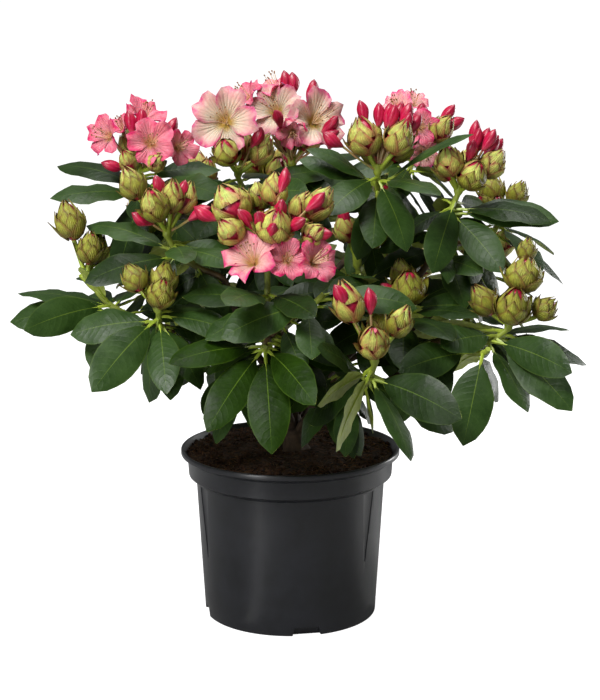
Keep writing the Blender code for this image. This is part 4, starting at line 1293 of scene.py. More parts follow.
print("the table lays down", sum(len(shoot.truss) for shoot in SHOOTS.values()), "truss pieces")


# %% Grow a whorl of leaves
def leaf_roots(name, twig):
    """Places for one whorl's leaf stalks, spread down the last of the twig in a seeded order."""
    rng = random.Random(name + " roots")
    stalk = twig[0][TWIG_STEPS::-1]
    count = max(WHORL, len(SHOOTS[name].leaves))
    roots = [down_path(stalk, 0.002 + WHORL_DEPTH * k / count) for k in range(count)]
    rng.shuffle(roots)
    return roots


def place_leaf(name, root, turn, droop, length, roll, width, nudges, crown):
    """Adds a leaf where one of a few small nudges keeps it clear of all that stands: a list of it, or empty."""
    bough, whorl = SHOOTS[name].bough, Vector(SHOOTS[name].tip)
    for more_turn, more_droop in nudges:
        tip = whorl + aim(turn + more_turn, 90 + droop + more_droop) * length
        leaf = (root, tip, width, roll)
        whole = leaf_solid(*leaf, CLEAR)
        if crown.touches(whole, lambda owner: owner != bough):
            continue
        if crown.touches(leaf_solid(*leaf, 0.0, True), lambda owner: owner == bough):
            continue
        crown.add(whole, bough)
        return [leaf]
    return []


def lay_leaves(name, roots, crown):
    """The leaves whose directions the shoot's table gives."""
    rng = random.Random(name + " laid")
    nudges = [(t, d) for d in (0, 4, -4, 8, -8, 13, -13, 18) for t in (0, 7, -7, 14)]
    leaves = []
    for root, given in zip(roots, SHOOTS[name].leaves):
        turn, droop, length, roll = (*given, 0)[:4]
        length /= 1000
        width = length * LEAF_WIDTH * rng.uniform(0.92, 1.06)
        leaves += place_leaf(name, root, turn, droop, length, roll, width, nudges, crown)
    return leaves


def fill_leaves(name, roots, crown):
    """Leaves that fill the widest gaps of the whorl. One that would leave the crown is skipped."""
    rng = random.Random(name + " fill")
    nudges = [(t, d) for t in (0, 9, -9) for d in (0, 9, -9, 18, -18, 30)]
    given = SHOOTS[name].leaves
    whorl = Vector(SHOOTS[name].tip)
    used = [g[0] for g in given]
    leaves = []
    for root in roots[len(given) :]:
        turn = widest_gap(used, rng)
        used.append(turn)
        droop = rng.uniform(2, 34)
        length = LEAF_LENGTH * rng.uniform(0.86, 1.08)
        width = length * LEAF_WIDTH * rng.uniform(0.92, 1.06)
        roll = rng.uniform(-18, 18)
        within = [n for n in nudges if inside_crown(whorl + aim(turn + n[0], 90 + droop + n[1]) * length)]
        leaves += place_leaf(name, root, turn, droop, length, roll, width, within, crown)
    return leaves


print("the table lays down", sum(len(shoot.leaves) for shoot in SHOOTS.values()), "leaves")

# %% Grow the shrub
crown = Crown()
crown.add(trunk_rings(stem_path()), "trunk")
POT_SPACE = [
    (0, 0),
    (BASE_RADIUS - 0.0008, 0),
    (BASE_RADIUS, 0.0012),
    (BODY_TOP_RADIUS, band_foot - 0.0048),
    (BAND_RADIUS - BAND_TAPER, band_foot),
    (BAND_RADIUS, lip_foot - 0.004),
    (LIP_RADIUS, lip_foot),
    (LIP_RADIUS, POT_HEIGHT - 0.0008),
    (LIP_RADIUS - 0.0028, POT_HEIGHT),
    (0, POT_HEIGHT),
]
crown.add(turned(POT_SPACE, POT_SIDES), "pot")
for name, (path, radii) in limbs.items():
    if name != "trunk":
        crown.add(tube(path, [r + CLEAR for r in radii], BOUGH_SIDES), "limb " + name)
for name, (path, radii) in twigs.items():
    crown.add(tube(path, [r + CLEAR / 2 for r in radii], TWIG_SIDES, 0.3), SHOOTS[name].bough)
trusses = {name: grow_truss(name, crown) for name in SHOOTS}
roots = {name: leaf_roots(name, twigs[name]) for name in SHOOTS}
whorls = {name: lay_leaves(name, roots[name], crown) for name in SHOOTS}
for name in SHOOTS:
    whorls[name] += fill_leaves(name, roots[name], crown)
print("leaves:", sum(len(w) for w in whorls.values()), "truss pieces:", sum(len(t[1]) for t in trusses.values()))

# %% Add last year's leaves inside the crown
INNER_COUNT = 8


def inner_leaves(name, twig):
    """Last year's leaves, smaller and lower on the twig, which close the crown's inside."""
    rng = random.Random(name + " inner")
    stalk = twig[0][TWIG_STEPS::-1]
    length_of_stalk = sum((b - a).length for a, b in zip(stalk, stalk[1:]))
    used, leaves = [], []
    for k in range(INNER_COUNT):
        root = down_path(stalk, min(0.030 + 0.011 * k, length_of_stalk * 0.95))
        turn = widest_gap(used, rng)
        used.append(turn)
        droop, length, roll = rng.uniform(5, 55), rng.uniform(0.060, 0.084), rng.uniform(-25, 25)
        for more_turn, more_droop in ((0, 0), (15, 10), (-15, -10), (30, 25), (-30, -25)):
            tip = root + aim(turn + more_turn, 90 + droop + more_droop) * length
            leaf = (root, tip, length * LEAF_WIDTH, roll)
            if inside_crown(tip) and not crown.touches(leaf_solid(*leaf, 0.0, True), lambda owner: True):
                crown.add(leaf_solid(*leaf), SHOOTS[name].bough)
                leaves.append(leaf)
                break
    return leaves


inner = {name: inner_leaves(name, twigs[name]) for name in SHOOTS}
print("inner leaves:", sum(len(w) for w in inner.values()))

# %% Close the last gaps
# A few more leaves close gaps in the crown: shoot, and heading, droop, length in mm and roll.
CLOSING = (
    ("top_centre", 33, -7, 90, -20),
    ("top_back", 297, 14, 85, 0),
    ("mid_right", 195, 6, 96, 25),
    ("inner_right", 240, 30, 80, 0),
    ("right_low", 33, 11, 90, -24),
    ("top_right", 166, -12, 80, 0),
    ("inner_right", 218, 46, 78, 0),
    ("top_right", 190, -24, 76, 10),
    ("centre_side", 20, 10, 70, 0),
)
nudges = [(t, d) for t in range(-28, 29, 7) for d in range(-24, 25, 6)]
nudges.sort(key=lambda n: (abs(n[0]) + abs(n[1]), n))
for name, turn, droop, length, roll in CLOSING:
    root = down_path(twigs[name][0][TWIG_STEPS::-1], 0.016)
    length /= 1000
    placed = place_leaf(name, root, turn, droop, length, roll, length * LEAF_WIDTH, nudges, crown)
    inner[name] += placed
    print("closing leaf of", name, "placed" if placed else "has no room")
print("with the closing ones, inner leaves:", sum(len(w) for w in inner.values()))

# %% [markdown]
# ## Stem and boughs
#
# The woody limbs are round and slightly knobbly, with rings where leaves once stood and shallow cracks that
# run along them. A thick tube with many rings, whose radius rises and falls with a noise of place, gives
# that relief as real shape, and the material adds only the finest cracks.


# %% Draw a soft path through a limb's points
def smooth_path(path, step):
    """The path again as a soft curve through its own points, with a point about every step, and where each
    new point lies among the old ones."""
    path = [Vector(p) for p in path]
    ends = [path[0] * 2 - path[1]] + path + [path[-1] * 2 - path[-2]]
    drawn, shares = [], []
    for k in range(1, len(ends) - 2):
        before, here, there, after = ends[k - 1 : k + 3]
        count = max(1, round((there - here).length / step))
        for i in range(count):
            t = i / count
            slope = (there - before) * t
            bow = (before * 2 - here * 5 + there * 4 - after) * t * t
            swing = (here * 3 - before - there * 3 + after) * t**3
            drawn.append((here * 2 + slope + bow + swing) * 0.5)
            shares.append(k - 1 + t)
    return drawn + [path[-1]], shares + [len(path) - 1]


def at_share(values, share):
    """A value read between those of a list."""
    k = min(int(share), len(values) - 2)
    return values[k] + (values[k + 1] - values[k]) * (share - k)


print("a soft path of the stem has", len(smooth_path(limbs["trunk"][0], 0.003)[0]), "points")

# %% Model the boughs with their relief
BARK_SIDES = 14
BARK_RIDGE = 0.00035
SCAR_GAP = 9


def bark_relief(points, middle):
    """Pushes a limb's points in and out from its middle line: cracks along it, lumps, and rings of scars."""
    moved = points.copy()
    for k, (point, centre) in enumerate(zip(points, middle)):
        out = (point - centre) / max(np.linalg.norm(point - centre), 1e-6)
        at = Vector(point)
        crack = noise.noise(Vector((at.x, at.y, at.z * 0.25)) * 900)
        lump = noise.noise(at * 130) * 1.4
        scar = 1.2 if (k // BARK_SIDES) % SCAR_GAP == 0 else 0
        moved[k] = point + out * (crack + lump + scar) * BARK_RIDGE
    return moved


boughs = Bundle()
for name, (path, radii) in limbs.items():
    if name != "trunk":
        drawn, shares = smooth_path(path, 0.0035)
        points = as_array(rings_along(drawn, [at_share(radii, s) * 0.95 for s in shares], BARK_SIDES))
        middle = np.repeat(as_array(drawn), BARK_SIDES, axis=0)
        boughs.add(tube_shape(BARK_SIDES, len(drawn)), bark_relief(points, middle))
print("boughs have", sum(len(p) for p in boughs.points), "points")

# %% Model the stem with its root flare
STEM_SIDES = 30
STEM_RINGS = 26
STEM_FOOT = SOIL_LEVEL - 0.002
stem_points = []
for k in range(STEM_RINGS + 1):
    share = k / STEM_RINGS
    flare = math.exp(-share * 5)
    spread = (STEM_RADIUS + (FLARE_RADIUS - STEM_RADIUS) * flare) * (0.6 if k == STEM_RINGS else 1)
    for i in range(STEM_SIDES):
        turn = 2 * math.pi * i / STEM_SIDES
        rough = noise.noise(Vector((math.cos(turn), math.sin(turn), share * 1.2)) * 3.2) * 0.0009
        reach = spread * (1 + 0.16 * flare * math.cos(5 * turn)) + rough
        x = 0.006 * (1 - share) + math.cos(turn) * reach
        y = 0.003 * (1 - share) + math.sin(turn) * reach
        stem_points.append((x, y, STEM_FOOT + (STEM_TOP - STEM_FOOT) * share))
stem = Bundle()
stem.add(tube_shape(STEM_SIDES, STEM_RINGS + 1), np.array(stem_points))
print("the stem has", len(stem_points), "points")

# %% Give the bark its colours
bark, shader, _mask = patchy_finish("young_bark", 0.85, (36, 27, 18), (66, 51, 35), 120, 0.3)
add_grain(shader, 1400, 0.5, 0.0005)
finish_piece(stem.piece("stem_bark", bark), "bark", "trunk")
finish_piece(boughs.piece("bough_bark", bark), "bark", *LIMBS)

# %% [markdown]
# ## Twigs
#
# A shoot's twig is last year's wood at its foot and this year's growth at its top, so it turns from brown to
# a fresh yellow-green along its length. The change follows the joined mesh's map, whose height runs from the
# twig's foot to its tip. Small rings mark where bud scales fell.


# %% Read the map, and lay colours along it
def blade_map(tree):
    """Reads the shared map in a material: Across, Along and Back."""
    sides = place_group(tree, SIDES, Map=new_node(tree, "UVMap", uv_map=MAP_NAME).outputs["UV"])
    return sides["Across"], sides["Along"], sides["Back"]


def ramp(tree, factor, *stops):
    """A colour ramp over a factor, with (place, colour) stops."""
    node = new_node(tree, "ValToRGB", {"Fac": factor})
    bar = node.color_ramp.elements
    while len(bar) < len(stops):
        bar.new(0.5)
    for mark, (place, colour) in zip(bar, stops):
        mark.position = place
        mark.color = (*colour, 1)
    return node.outputs["Color"]


def shade(tree, colour, low, high, scale):
    """The same colour made darker and lighter in soft patches of place."""
    return mix(tree, 1.0, colour, patches(tree, (low,) * 3, (high,) * 3, scale)[0], "MULTIPLY")


print("twigs that carry a truss:", sum(has_truss(name) for name in twigs))


# %% Model the twigs
def dress(bundle, name, finish, sharp=55):
    """Joins a bundle of what grows on the shoots, and hands it over in place of the masses."""
    finish_piece(bundle.piece(name, finish, sharp), "foliage", *MASSES)


stalks = Bundle()
for name, (path, radii) in twigs.items():
    drawn, shares = smooth_path(path, 0.003)
    widths = [at_share(radii, s) for s in shares]
    for k in range(2, len(widths) - 1):
        if has_truss(name) and shares[k] > TWIG_STEPS + 0.2:
            widths[k] = min(widths[k], 0.0045)
        if (k * 7 + len(name)) % 11 == 0:
            widths[k] *= 1.14
    add_tube(stalks, drawn, widths, 10)
twig_skin, tree, shader = new_material("green_twig", 0.5)
_across, along_twig, _back = blade_map(tree)
stages = ((0.0, (70, 50, 34)), (0.35, (92, 72, 40)), (0.6, (118, 128, 42)), (1.0, (146, 162, 52)))
tone = ramp(tree, along_twig, *[(place, srgb(*colour)) for place, colour in stages])
colour_with(shader, shade(tree, tone, 0.75, 1.15, 160))
add_grain(shader, 900, 0.25, 0.0003)
dress(stalks, "twigs", twig_skin)

# %% [markdown]
# ## Leaves
#
# A leaf is a leathery blade, broadest past its middle and drawn to a blunt point. Its two halves rise a
# little from a sunken midrib and roll down again at the margin. A flat grid is the natural start: its rows
# run along the leaf and its columns across. Solidify gives it a back, and the two are closed along the
# margin. The grid stays flat until it is placed, because each leaf bends along its own line.


# %% Model one flat blade
def blade_shape(rows, columns):
    """A closed blade as a shape. Along is from -1 to 1 on X, across on Y, and Z is 1 on the front, -1 on the
    back and 0 at the margin. The map gives the front its left half and the back its right half."""
    bpy.ops.mesh.primitive_grid_add(x_subdivisions=rows, y_subdivisions=columns, size=2)
    sheet = bpy.context.object
    wall = sheet.modifiers.new("wall", "SOLIDIFY")
    wall.thickness = 2
    wall.offset = 0
    wall.use_rim = False
    bpy.ops.object.modifier_apply(modifier=wall.name)
    for point in sheet.data.vertices:
        if max(abs(point.co.x), abs(point.co.y)) > 0.999:
            point.co.z = 0
    bpy.ops.object.mode_set(mode="EDIT")
    bpy.ops.mesh.select_all(action="SELECT")
    bpy.ops.mesh.remove_doubles(threshold=0.0001)
    bpy.ops.mesh.normals_make_consistent(inside=False)
    bpy.ops.object.mode_set(mode="OBJECT")
    mesh = sheet.data
    layer = mesh.uv_layers.active or mesh.uv_layers.new(name=MAP_NAME)
    spots = np.zeros((len(mesh.loops), 2), np.float32)
    for face in mesh.polygons:
        back = 0.5 if face.normal.z < 0 else 0.0
        for corner in face.loop_indices:
            at = mesh.vertices[mesh.loops[corner].vertex_index].co
            spots[corner] = (back + 0.25 + at.y * 0.246, 0.5 + at.x * 0.495)
    layer.uv.foreach_set("vector", spots.ravel())
    return read_shape(sheet)


BLADE = blade_shape(10, 4)
print("a blade has", len(BLADE.sizes), "faces")

# %% Bend a blade along its leaf's line
BLADE_HALF = 0.00045
FOLD, CURL = 0.11, 0.15


def blade_width(share):
    """How wide a blade is, from 0 at its ends to almost 1 where it is broadest, just past the middle."""
    return 0.96 * np.sin(np.pi * np.clip(share, 0, 1) ** 1.12) ** 0.62


def leaf_line(root, tip, roll, character):
    """A leaf's own line as a function: its point, side and normal at shares of its length."""
    ahead, normal, side = (np.array(v) for v in leaf_frame(root, tip, roll))
    span = (tip - root).length
    twist, sag = character["twist"], character["sag"]

    def line(share):
        share = np.atleast_1d(share)[:, None]
        turn = twist * (share - 0.3)
        across = side * np.cos(turn) + normal * np.sin(turn)
        up = normal * np.cos(turn) - side * np.sin(turn)
        arch = 4 * LEAF_ARCH * span * share * (1 - share) * np.array((0, 0, 1.0))
        hang = -normal * span * sag * np.clip((share - 0.5) / 0.5, 0, 1) ** 2
        return np.array(root) + ahead * span * share + arch + hang, across, up

    return line


def lay_blade(line, width, character):
    """The blade's points bent along the line: folded at the midrib, rolled down and waved at the margin."""
    x, y, face = BLADE.points.T
    inner = (x + 1) / 2
    share = PETIOLE + (1 - PETIOLE) * inner
    middle, side, up = line(share)
    half = np.maximum(width / 2 * blade_width(inner), 0.0006)
    wave = character["wave"] * np.sin(inner * 2 * np.pi * character["waves"] + character["start"] + y)
    lift = (FOLD * np.abs(y) - CURL * y**2 + wave * y**2) * half * 2
    lift += face * BLADE_HALF - 0.0002 * (1 - np.abs(y))
    return middle + side * (y * half)[:, None] + up * lift[:, None]


def lay_stalk(bundle, line, length):
    """The leaf's stalk, which runs on under the blade as its raised midrib."""
    shares = np.array((-0.02, 0.05, 0.12, PETIOLE, 0.24, 0.45, 0.7, 0.92))
    radii = np.array((0.0021, 0.0017, 0.0016, 0.0015, 0.0012, 0.0009, 0.0006, 0.0003)) * (length / 0.09) ** 0.5
    middle, _side, up = line(shares)
    sunk = np.where(shares > PETIOLE - 0.01, radii * 0.75, 0)
    add_tube(bundle, middle - up * sunk[:, None], radii, 5)


print("a blade is widest at", round(float(0.5 ** (1 / 1.12)), 2), "of its length")

# %% [markdown]
# The leaves come in three tones: dark old ones, most that are mid green, and a few fresh ones low at the
# front. On four shoots every leaf takes the lighter mid tone as painted light, for the sheen that falls on
# them. Each leaf draws its own twist, sag and wave from a seed, so no two lie alike.

# %% Place every leaf
# Some shoots have one tone all over, and one leaf is slimmer than its plain solid. On far_left, left_low,
# centre_side and top_right the lighter mid tone is painted sheen: it stands for the light that falls on
# those leaves.
SHOOT_TONES_AND_PAINTED_SHEEN = {"centre_low": "fresh", "far_left": "mid", "left_low": "mid", "centre_side": "mid", "top_right": "mid"}
DARK_SHARE = 0.45
SLIM = {("top_right", 5): 0.5}
leaves = {"dark": Bundle(), "mid": Bundle(), "fresh": Bundle()}
stalks = Bundle()
for name, whorl in whorls.items():
    rng = random.Random(name + " looks")
    for k, (root, tip, width, roll) in enumerate(whorl + inner[name]):
        width *= SLIM.get((name, k), 1)
        character = {
            "twist": rng.uniform(-0.35, 0.35),
            "sag": rng.uniform(0.0, 0.07),
            "wave": rng.uniform(0.015, 0.06),
            "waves": rng.uniform(1.6, 3.0),
            "start": rng.uniform(0, FULL_TURN),
        }
        # A listed shoot's tone comes first. The mid tone on four of them is painted sheen.
        tone = SHOOT_TONES_AND_PAINTED_SHEEN.get(name, "dark" if rng.random() < DARK_SHARE else "mid")
        line = leaf_line(root, tip, roll, character)
        leaves[tone].add(BLADE, lay_blade(line, width, character))
        lay_stalk(stalks, line, (tip - root).length)
print({tone: len(bundle.points) for tone, bundle in leaves.items()})


# %% Give the leaves their skin
def leaf_finish(name, low, high, line, margin, gloss):
    """Leaf skin: two greens in patches, paler side veins and midrib on top, an olive back."""
    made, tree, shader = new_material(name, 0.45, gloss)
    across, along_leaf, back = blade_map(tree)
    veins = place_group(tree, VEINS, Pairs=12, Midrib=0.034, Across=across, Along=along_leaf)
    top, mask = patches(tree, low, high, 42)
    rim = calc(tree, "GREATER_THAN", across, 0.93)
    specks = patches(tree, line, line, 520)[1]
    layers = ((veins["Lines"], 0.10, line), (specks, 0.12, line), (rim, 0.14, margin), (veins["Midrib"], 0.5, margin))
    for place, share, colour in layers:
        top = mix(tree, times(tree, place, share), top, colour)
    under = patches(tree, srgb(136, 150, 60), srgb(174, 186, 94), 55)[0]
    under = mix(tree, times(tree, veins["Lines"], 0.2), under, srgb(172, 176, 122))
    colour_with(shader, mix(tree, back, top, under))
    vary_roughness(shader, mask, 0.36, 0.52)
    add_bump(shader, veins["Height"], 0.24, 0.0008)
    add_grain(shader, 120, 0.45, 0.0012)
    add_grain(shader, 700, 0.12, 0.0004)
    return made


# Each tone's darker and lighter green, its fine veins, its midrib and margin, and its gloss.
LEAF_COLOURS = {
    "dark": ((16, 31, 5), (25, 44, 8), (50, 76, 26), (84, 108, 34), 0.18),
    "mid": ((27, 48, 13), (41, 64, 21), (66, 92, 36), (100, 122, 40), 0.22),
    "fresh": ((17, 34, 2), (28, 50, 4), (56, 84, 20), (94, 122, 34), 0.09),
}
for tone, (*colours, gloss) in LEAF_COLOURS.items():
    dress(leaves[tone], "leaves_" + tone, leaf_finish("leaf_" + tone, *[srgb(*c) for c in colours], gloss), 80)
stalk_green = patchy_finish("leaf_stalk", 0.45, (130, 152, 38), (166, 182, 62), 90)[0]
dress(stalks, "leaf_stalks", stalk_green)

# %% [markdown]
# ## Scaly buds
#
# A rhododendron's flower bud is an egg of overlapping scales, like a small artichoke. Each scale is broad at
# its foot, drawn to a point, and turns out a little at its tip. Where the bud is about to open, the crimson
# of the flowers shows between them. One flat scale is modelled as the leaf's blade was, and every copy is
# wrapped round its bud in a spiral, each a golden angle on from the one before.

# %% Wrap scales round a bud
SCALE = blade_shape(4, 4)
GOLDEN = math.radians(137.5)
SCALE_ROWS, HOOD_SCALES = 21, 5


def bud_frame(base, heading, off, reach, width, length):
    """A scaly bud's middle, its axis with two sides, half its width and half its length."""
    out = aim(heading, off)
    up = (out + Vector((0, 0, 0.4))).normalized()
    side = up.orthogonal().normalized()
    return base + out * reach / 1000, up, side, up.cross(side), width / 2250, length / 1920


def egg(height):
    """How wide a bud is at a height from -1 to 1: round at its foot and drawn to a point at its top."""
    height = np.clip(height, -1, 1)
    low, high = np.clip(-height, 0, 1), np.clip(height, 0, 1)
    return (1 - low**2.4) ** 0.6 * (1 - high**1.35) ** 0.9


def wrap_scale(frame, turn, foot, tall, spread, lift, flare):
    """A scale's points round the egg, from a foot height upwards."""
    middle, up, side, across, half, long = frame
    x, y, face = SCALE.points.T
    t = (x + 1) / 2
    angle = turn + y * spread * (1 - t**1.35) ** 0.95
    height = foot + tall * t
    keel = 0.07 * (1 - np.abs(y)) * t
    crinkle = 0.035 * np.sin(9 * t + 3 * turn) * np.abs(y) * np.sin(np.pi * t)
    reach = half * (egg(height * 0.98) * (1 + lift) + flare * t**3 + face * 0.012 + keel + crinkle)
    rise = long * height
    points = np.outer(np.cos(angle) * reach, side) + np.outer(np.sin(angle) * reach, across)
    return np.array(middle) + points + np.outer(rise, up)


print("a scale has", len(SCALE.sizes), "faces")


# %% Put a whole bud together
def scale_bud(bundle, top, frame, rng, flare, openings):
    """All the scales of a bud, the lowest first. The last few close over the top as its hood, in a bundle
    of their own. Scales are left out round each opening's turn, where the flowers inside show."""
    hood = SCALE_ROWS - HOOD_SCALES
    for k in range(SCALE_ROWS):
        share = min(1, k / hood)
        turn = k * GOLDEN + rng.uniform(-0.15, 0.15)
        if 0.3 < share < 1 and any(math.cos(turn - opening) > 0.82 for opening in openings):
            continue
        foot = -0.98 + 0.98 * share if k < hood else 0.02
        tall = 1.02 - 0.12 * share + rng.uniform(-0.12, 0.12) if k < hood else 0.96
        spread = 0.92 - 0.18 * share if k < hood else 0.98
        lift = 0.11 * (1 - share) + 0.02 + (SCALE_ROWS - k) * 0.003 + rng.uniform(0, 0.05)
        turned_out = flare * (1 - 0.7 * share) * rng.uniform(0.4, 1.4)
        kept = bundle if k < hood else top
        kept.add(SCALE, wrap_scale(frame, turn, foot, tall, spread, lift, turned_out))


HEART_SIDES, HEART_RINGS, HEART_SIZE = 10, 7, 0.96


def bud_heart(bundle, frame):
    """The closed egg inside the scales."""
    middle, up, _side, _across, half, long = frame
    path, radii = [], []
    for k in range(HEART_RINGS):
        height = -0.97 + 1.72 * k / (HEART_RINGS - 1)
        path.append(middle + up * long * height * HEART_SIZE)
        radii.append(max(0.0002, half * float(egg(height)) * HEART_SIZE))
    add_tube(bundle, path, radii, HEART_SIDES)


print("a bud has at most", SCALE_ROWS, "scales round its heart")

# %% Place every scaly bud
# Buds near to opening show crimson. On some shoots they are still green, with scales that stand off.
GREEN_SHOOTS = {"far_left", "left_low", "right_low", "mid_right", "right_back"}
scales = {"green": Bundle(), "rosy": Bundle(), "pale": Bundle()}
hearts, bud_stalks = Bundle(), Bundle()
for name, (base, pieces) in trusses.items():
    rng = random.Random(name + " buds")
    for kind, *sizes in pieces:
        if kind != "E":
            continue
        frame_of_bud = bud_frame(base, *sizes)
        green = name in GREEN_SHOOTS
        tone = "green" if green or rng.random() < 0.3 else "rosy"
        middle, up, side, across, half, long = frame_of_bud
        front = math.atan2(-across.y, -side.y)
        openings = [front + rng.uniform(-1.3, 1.3), rng.uniform(0, FULL_TURN)] if not green else []
        top = scales["green" if green else "pale"]
        scale_bud(scales[tone], top, frame_of_bud, rng, 0.46 if green else 0.24, openings)
        bud_heart(hearts, frame_of_bud)
        low = middle - up * long * 0.9
        if (low - base).length > 0.004:
            path = [base - (low - base) * 0.1, base + (low - base) * 0.5 - up * 0.001, low]
            drawn, _shares = smooth_path(path, 0.004)
            add_tube(bud_stalks, drawn, [0.0024] * len(drawn), 7)
print("scaly buds:", len(hearts.points), "scales:", sum(len(b.points) for b in scales.values()))


# %% Give the scales their colours
def scale_finish(name, foot, middle, tip, edge):
    """A scale's skin: green that pales to its tip, with a brown or rosy edge, blotches and fine ribs."""
    made, tree, shader = new_material(name, 0.5, 0.4)
    across, along_scale, _back = blade_map(tree)
    colour = ramp(tree, along_scale, (0.0, foot), (0.5, middle), (0.78, middle), (0.97, tip))
    rim = new_node(tree, "MapRange", {"Value": across, "From Min": 0.42, "From Max": 1.0})
    colour = mix(tree, rim.outputs["Result"], colour, edge)
    for size, share in ((75, 0.34), (260, 0.42)):
        colour = mix(tree, times(tree, patches(tree, edge, edge, size)[1], share), colour, edge)
    ribs = place_group(tree, VEINS, Pairs=1, Midrib=0.05, Along=times(tree, across, 4.0))
    colour = mix(tree, times(tree, ribs["Lines"], 0.3), colour, edge)
    colour_with(shader, shade(tree, colour, 0.68, 1.2, 150))
    add_bump(shader, ribs["Height"], 0.6, 0.0010)
    add_grain(shader, 1200, 0.3, 0.0005)
    add_grain(shader, 420, 0.6, 0.0005)
    return made


# Each kind's colours at the foot, the middle, the tip and the edge of a scale.
SCALE_COLOURS = {
    "green": ((84, 88, 26), (158, 168, 54), (112, 78, 34), (116, 84, 36)),
    "rosy": ((104, 100, 34), (188, 204, 88), (142, 94, 50), (152, 86, 56)),
    "pale": ((130, 144, 48), (190, 216, 100), (156, 132, 66), (168, 108, 70)),
}
for tone, colours in SCALE_COLOURS.items():
    dress(scales[tone], "scales_" + tone, scale_finish("scale_" + tone, *[srgb(*c) for c in colours]))
dress(hearts, "bud_hearts", patchy_finish("bud_heart", 0.4, (128, 6, 36), (180, 24, 64), 210)[0])
dress(bud_stalks, "bud_stalks", stalk_green)

# %% [markdown]
# ## Flower buds in colour
#
# Between the scaly buds stand single flower buds that are already coloured but still furled: slim clubs with
# five soft ridges, where the folded lobes meet, and a twist. A tube of 15 sides whose radius follows the
# ridges gives the shape. The colour runs from pale at the foot to deep crimson at the tip.

# %% Model and place the furled buds
FURL_SIDES, FURL_RINGS = 15, 10
FURL = tube_shape(FURL_SIDES, FURL_RINGS)
furls, furl_stalks = Bundle(), Bundle()


def add_stalk(bundle, start, end, bow, step, radius, sides, last=None):
    """A thin stalk between two places, bowed aside at its middle, with a point about every step."""
    drawn, _shares = smooth_path([start, start + (end - start) * 0.5 + bow, end], step)
    add_tube(bundle, drawn, [radius] * (len(drawn) - 1) + [last or radius], sides)


def add_furl(base, heading, off, reach, rng):
    """A furled bud on its stalk, with its tip just past its reach."""
    out = aim(heading, off)
    reach = reach / 1000
    long = min(0.026, reach + 0.008)
    tip = base + out * (reach + 0.010)
    foot = tip - out * long
    side = out.orthogonal().normalized()
    across = out.cross(side)
    fat = rng.uniform(0.0054, 0.0066)
    start = rng.uniform(0, FULL_TURN)
    points = []
    for k in range(FURL_RINGS):
        t = k / (FURL_RINGS - 1)
        swell = max(0.06, math.sin(math.pi * min(1, 0.10 + t * 0.90) ** 1.35) ** 0.75)
        bow = side * 0.0016 * math.sin(math.pi * t)
        for i in range(FURL_SIDES):
            turn = 2 * math.pi * i / FURL_SIDES
            ridge = 1 + 0.13 * math.cos(5 * turn) * math.sin(math.pi * t) ** 0.5
            spin = turn + start + 0.9 * t
            spot = foot + out * long * t + bow
            points.append(spot + (side * math.cos(spin) + across * math.sin(spin)) * fat * swell * ridge)
    furls.add(FURL, as_array(points))
    if (foot - base).length > 0.006:
        add_stalk(furl_stalks, base, foot, Vector((0, 0, -0.001)), 0.006, 0.0013, 6)


# One furled bud of the centre has given way to the scaly bud behind it, and two trusses have more of them.
OPENED = {("centre", 200, 40, 65)}
MORE_FURLS = {
    "top_right": ((200, 55, 62), (355, 36, 62), (335, 30, 60), (30, 30, 60), (345, 14, 60)),
    "right": ((340, 30, 64), (15, 42, 60), (345, 18, 58)),
}
for name, (base, pieces) in trusses.items():
    rng = random.Random(name + " furls")
    wanted = list(pieces) + [("P", *sizes) for sizes in MORE_FURLS.get(name, ())]
    wanted += [p for p in SHOOTS[name].truss if p[0] == "P" and p not in wanted]
    for kind, *sizes in wanted:
        if kind == "P" and has_truss(name) and sizes[2] >= 20 and (name, *sizes) not in OPENED:
            add_furl(base, *sizes, rng)
print("furled buds:", len(furls.points))

# %% Colour the furled buds
furl_skin, tree, shader = new_material("furled_bud", 0.38, 0.5)
split = new_node(tree, "SeparateXYZ", {0: new_node(tree, "UVMap", uv_map=MAP_NAME).outputs["UV"]}).outputs
ages = ((0.0, (190, 80, 96)), (0.3, (180, 18, 62)), (0.75, (162, 4, 44)), (1.0, (118, 4, 30)))
body = ramp(tree, split["Y"], *[(place, srgb(*colour)) for place, colour in ages])
# Narrow lighter pink lines round the bud, on its ridges and between them, are painted highlights.
ridge = calc(tree, "ABSOLUTE", calc(tree, "COSINE", times(tree, split["X"], 10 * math.pi)))
painted_highlight_lines = mix(tree, times(tree, calc(tree, "POWER", ridge, 6), 0.35), body, srgb(212, 48, 104))
colour_with(shader, shade(tree, painted_highlight_lines, 0.85, 1.1, 150))
add_grain(shader, 900, 0.2, 0.0003)
blush_stalk = patchy_finish("flower_stalk", 0.5, (150, 150, 78), (178, 120, 92), 80)[0]
dress(furls, "furled_buds", furl_skin, 80)
dress(furl_stalks, "furled_bud_stalks", blush_stalk)

# %% [markdown]
# ## Open flowers
#
# The open flower is a funnel of five joined lobes. Each lobe is a blade again: narrow where it joins the
# tube, round and ruffled at the rim, with one edge over its neighbour and one under. So one more grid is
# modelled, and the five lobes of every flower are that grid wrapped round the flower's axis.

# %% Wrap five lobes round a flower's axis
LOBE = blade_shape(9, 8)


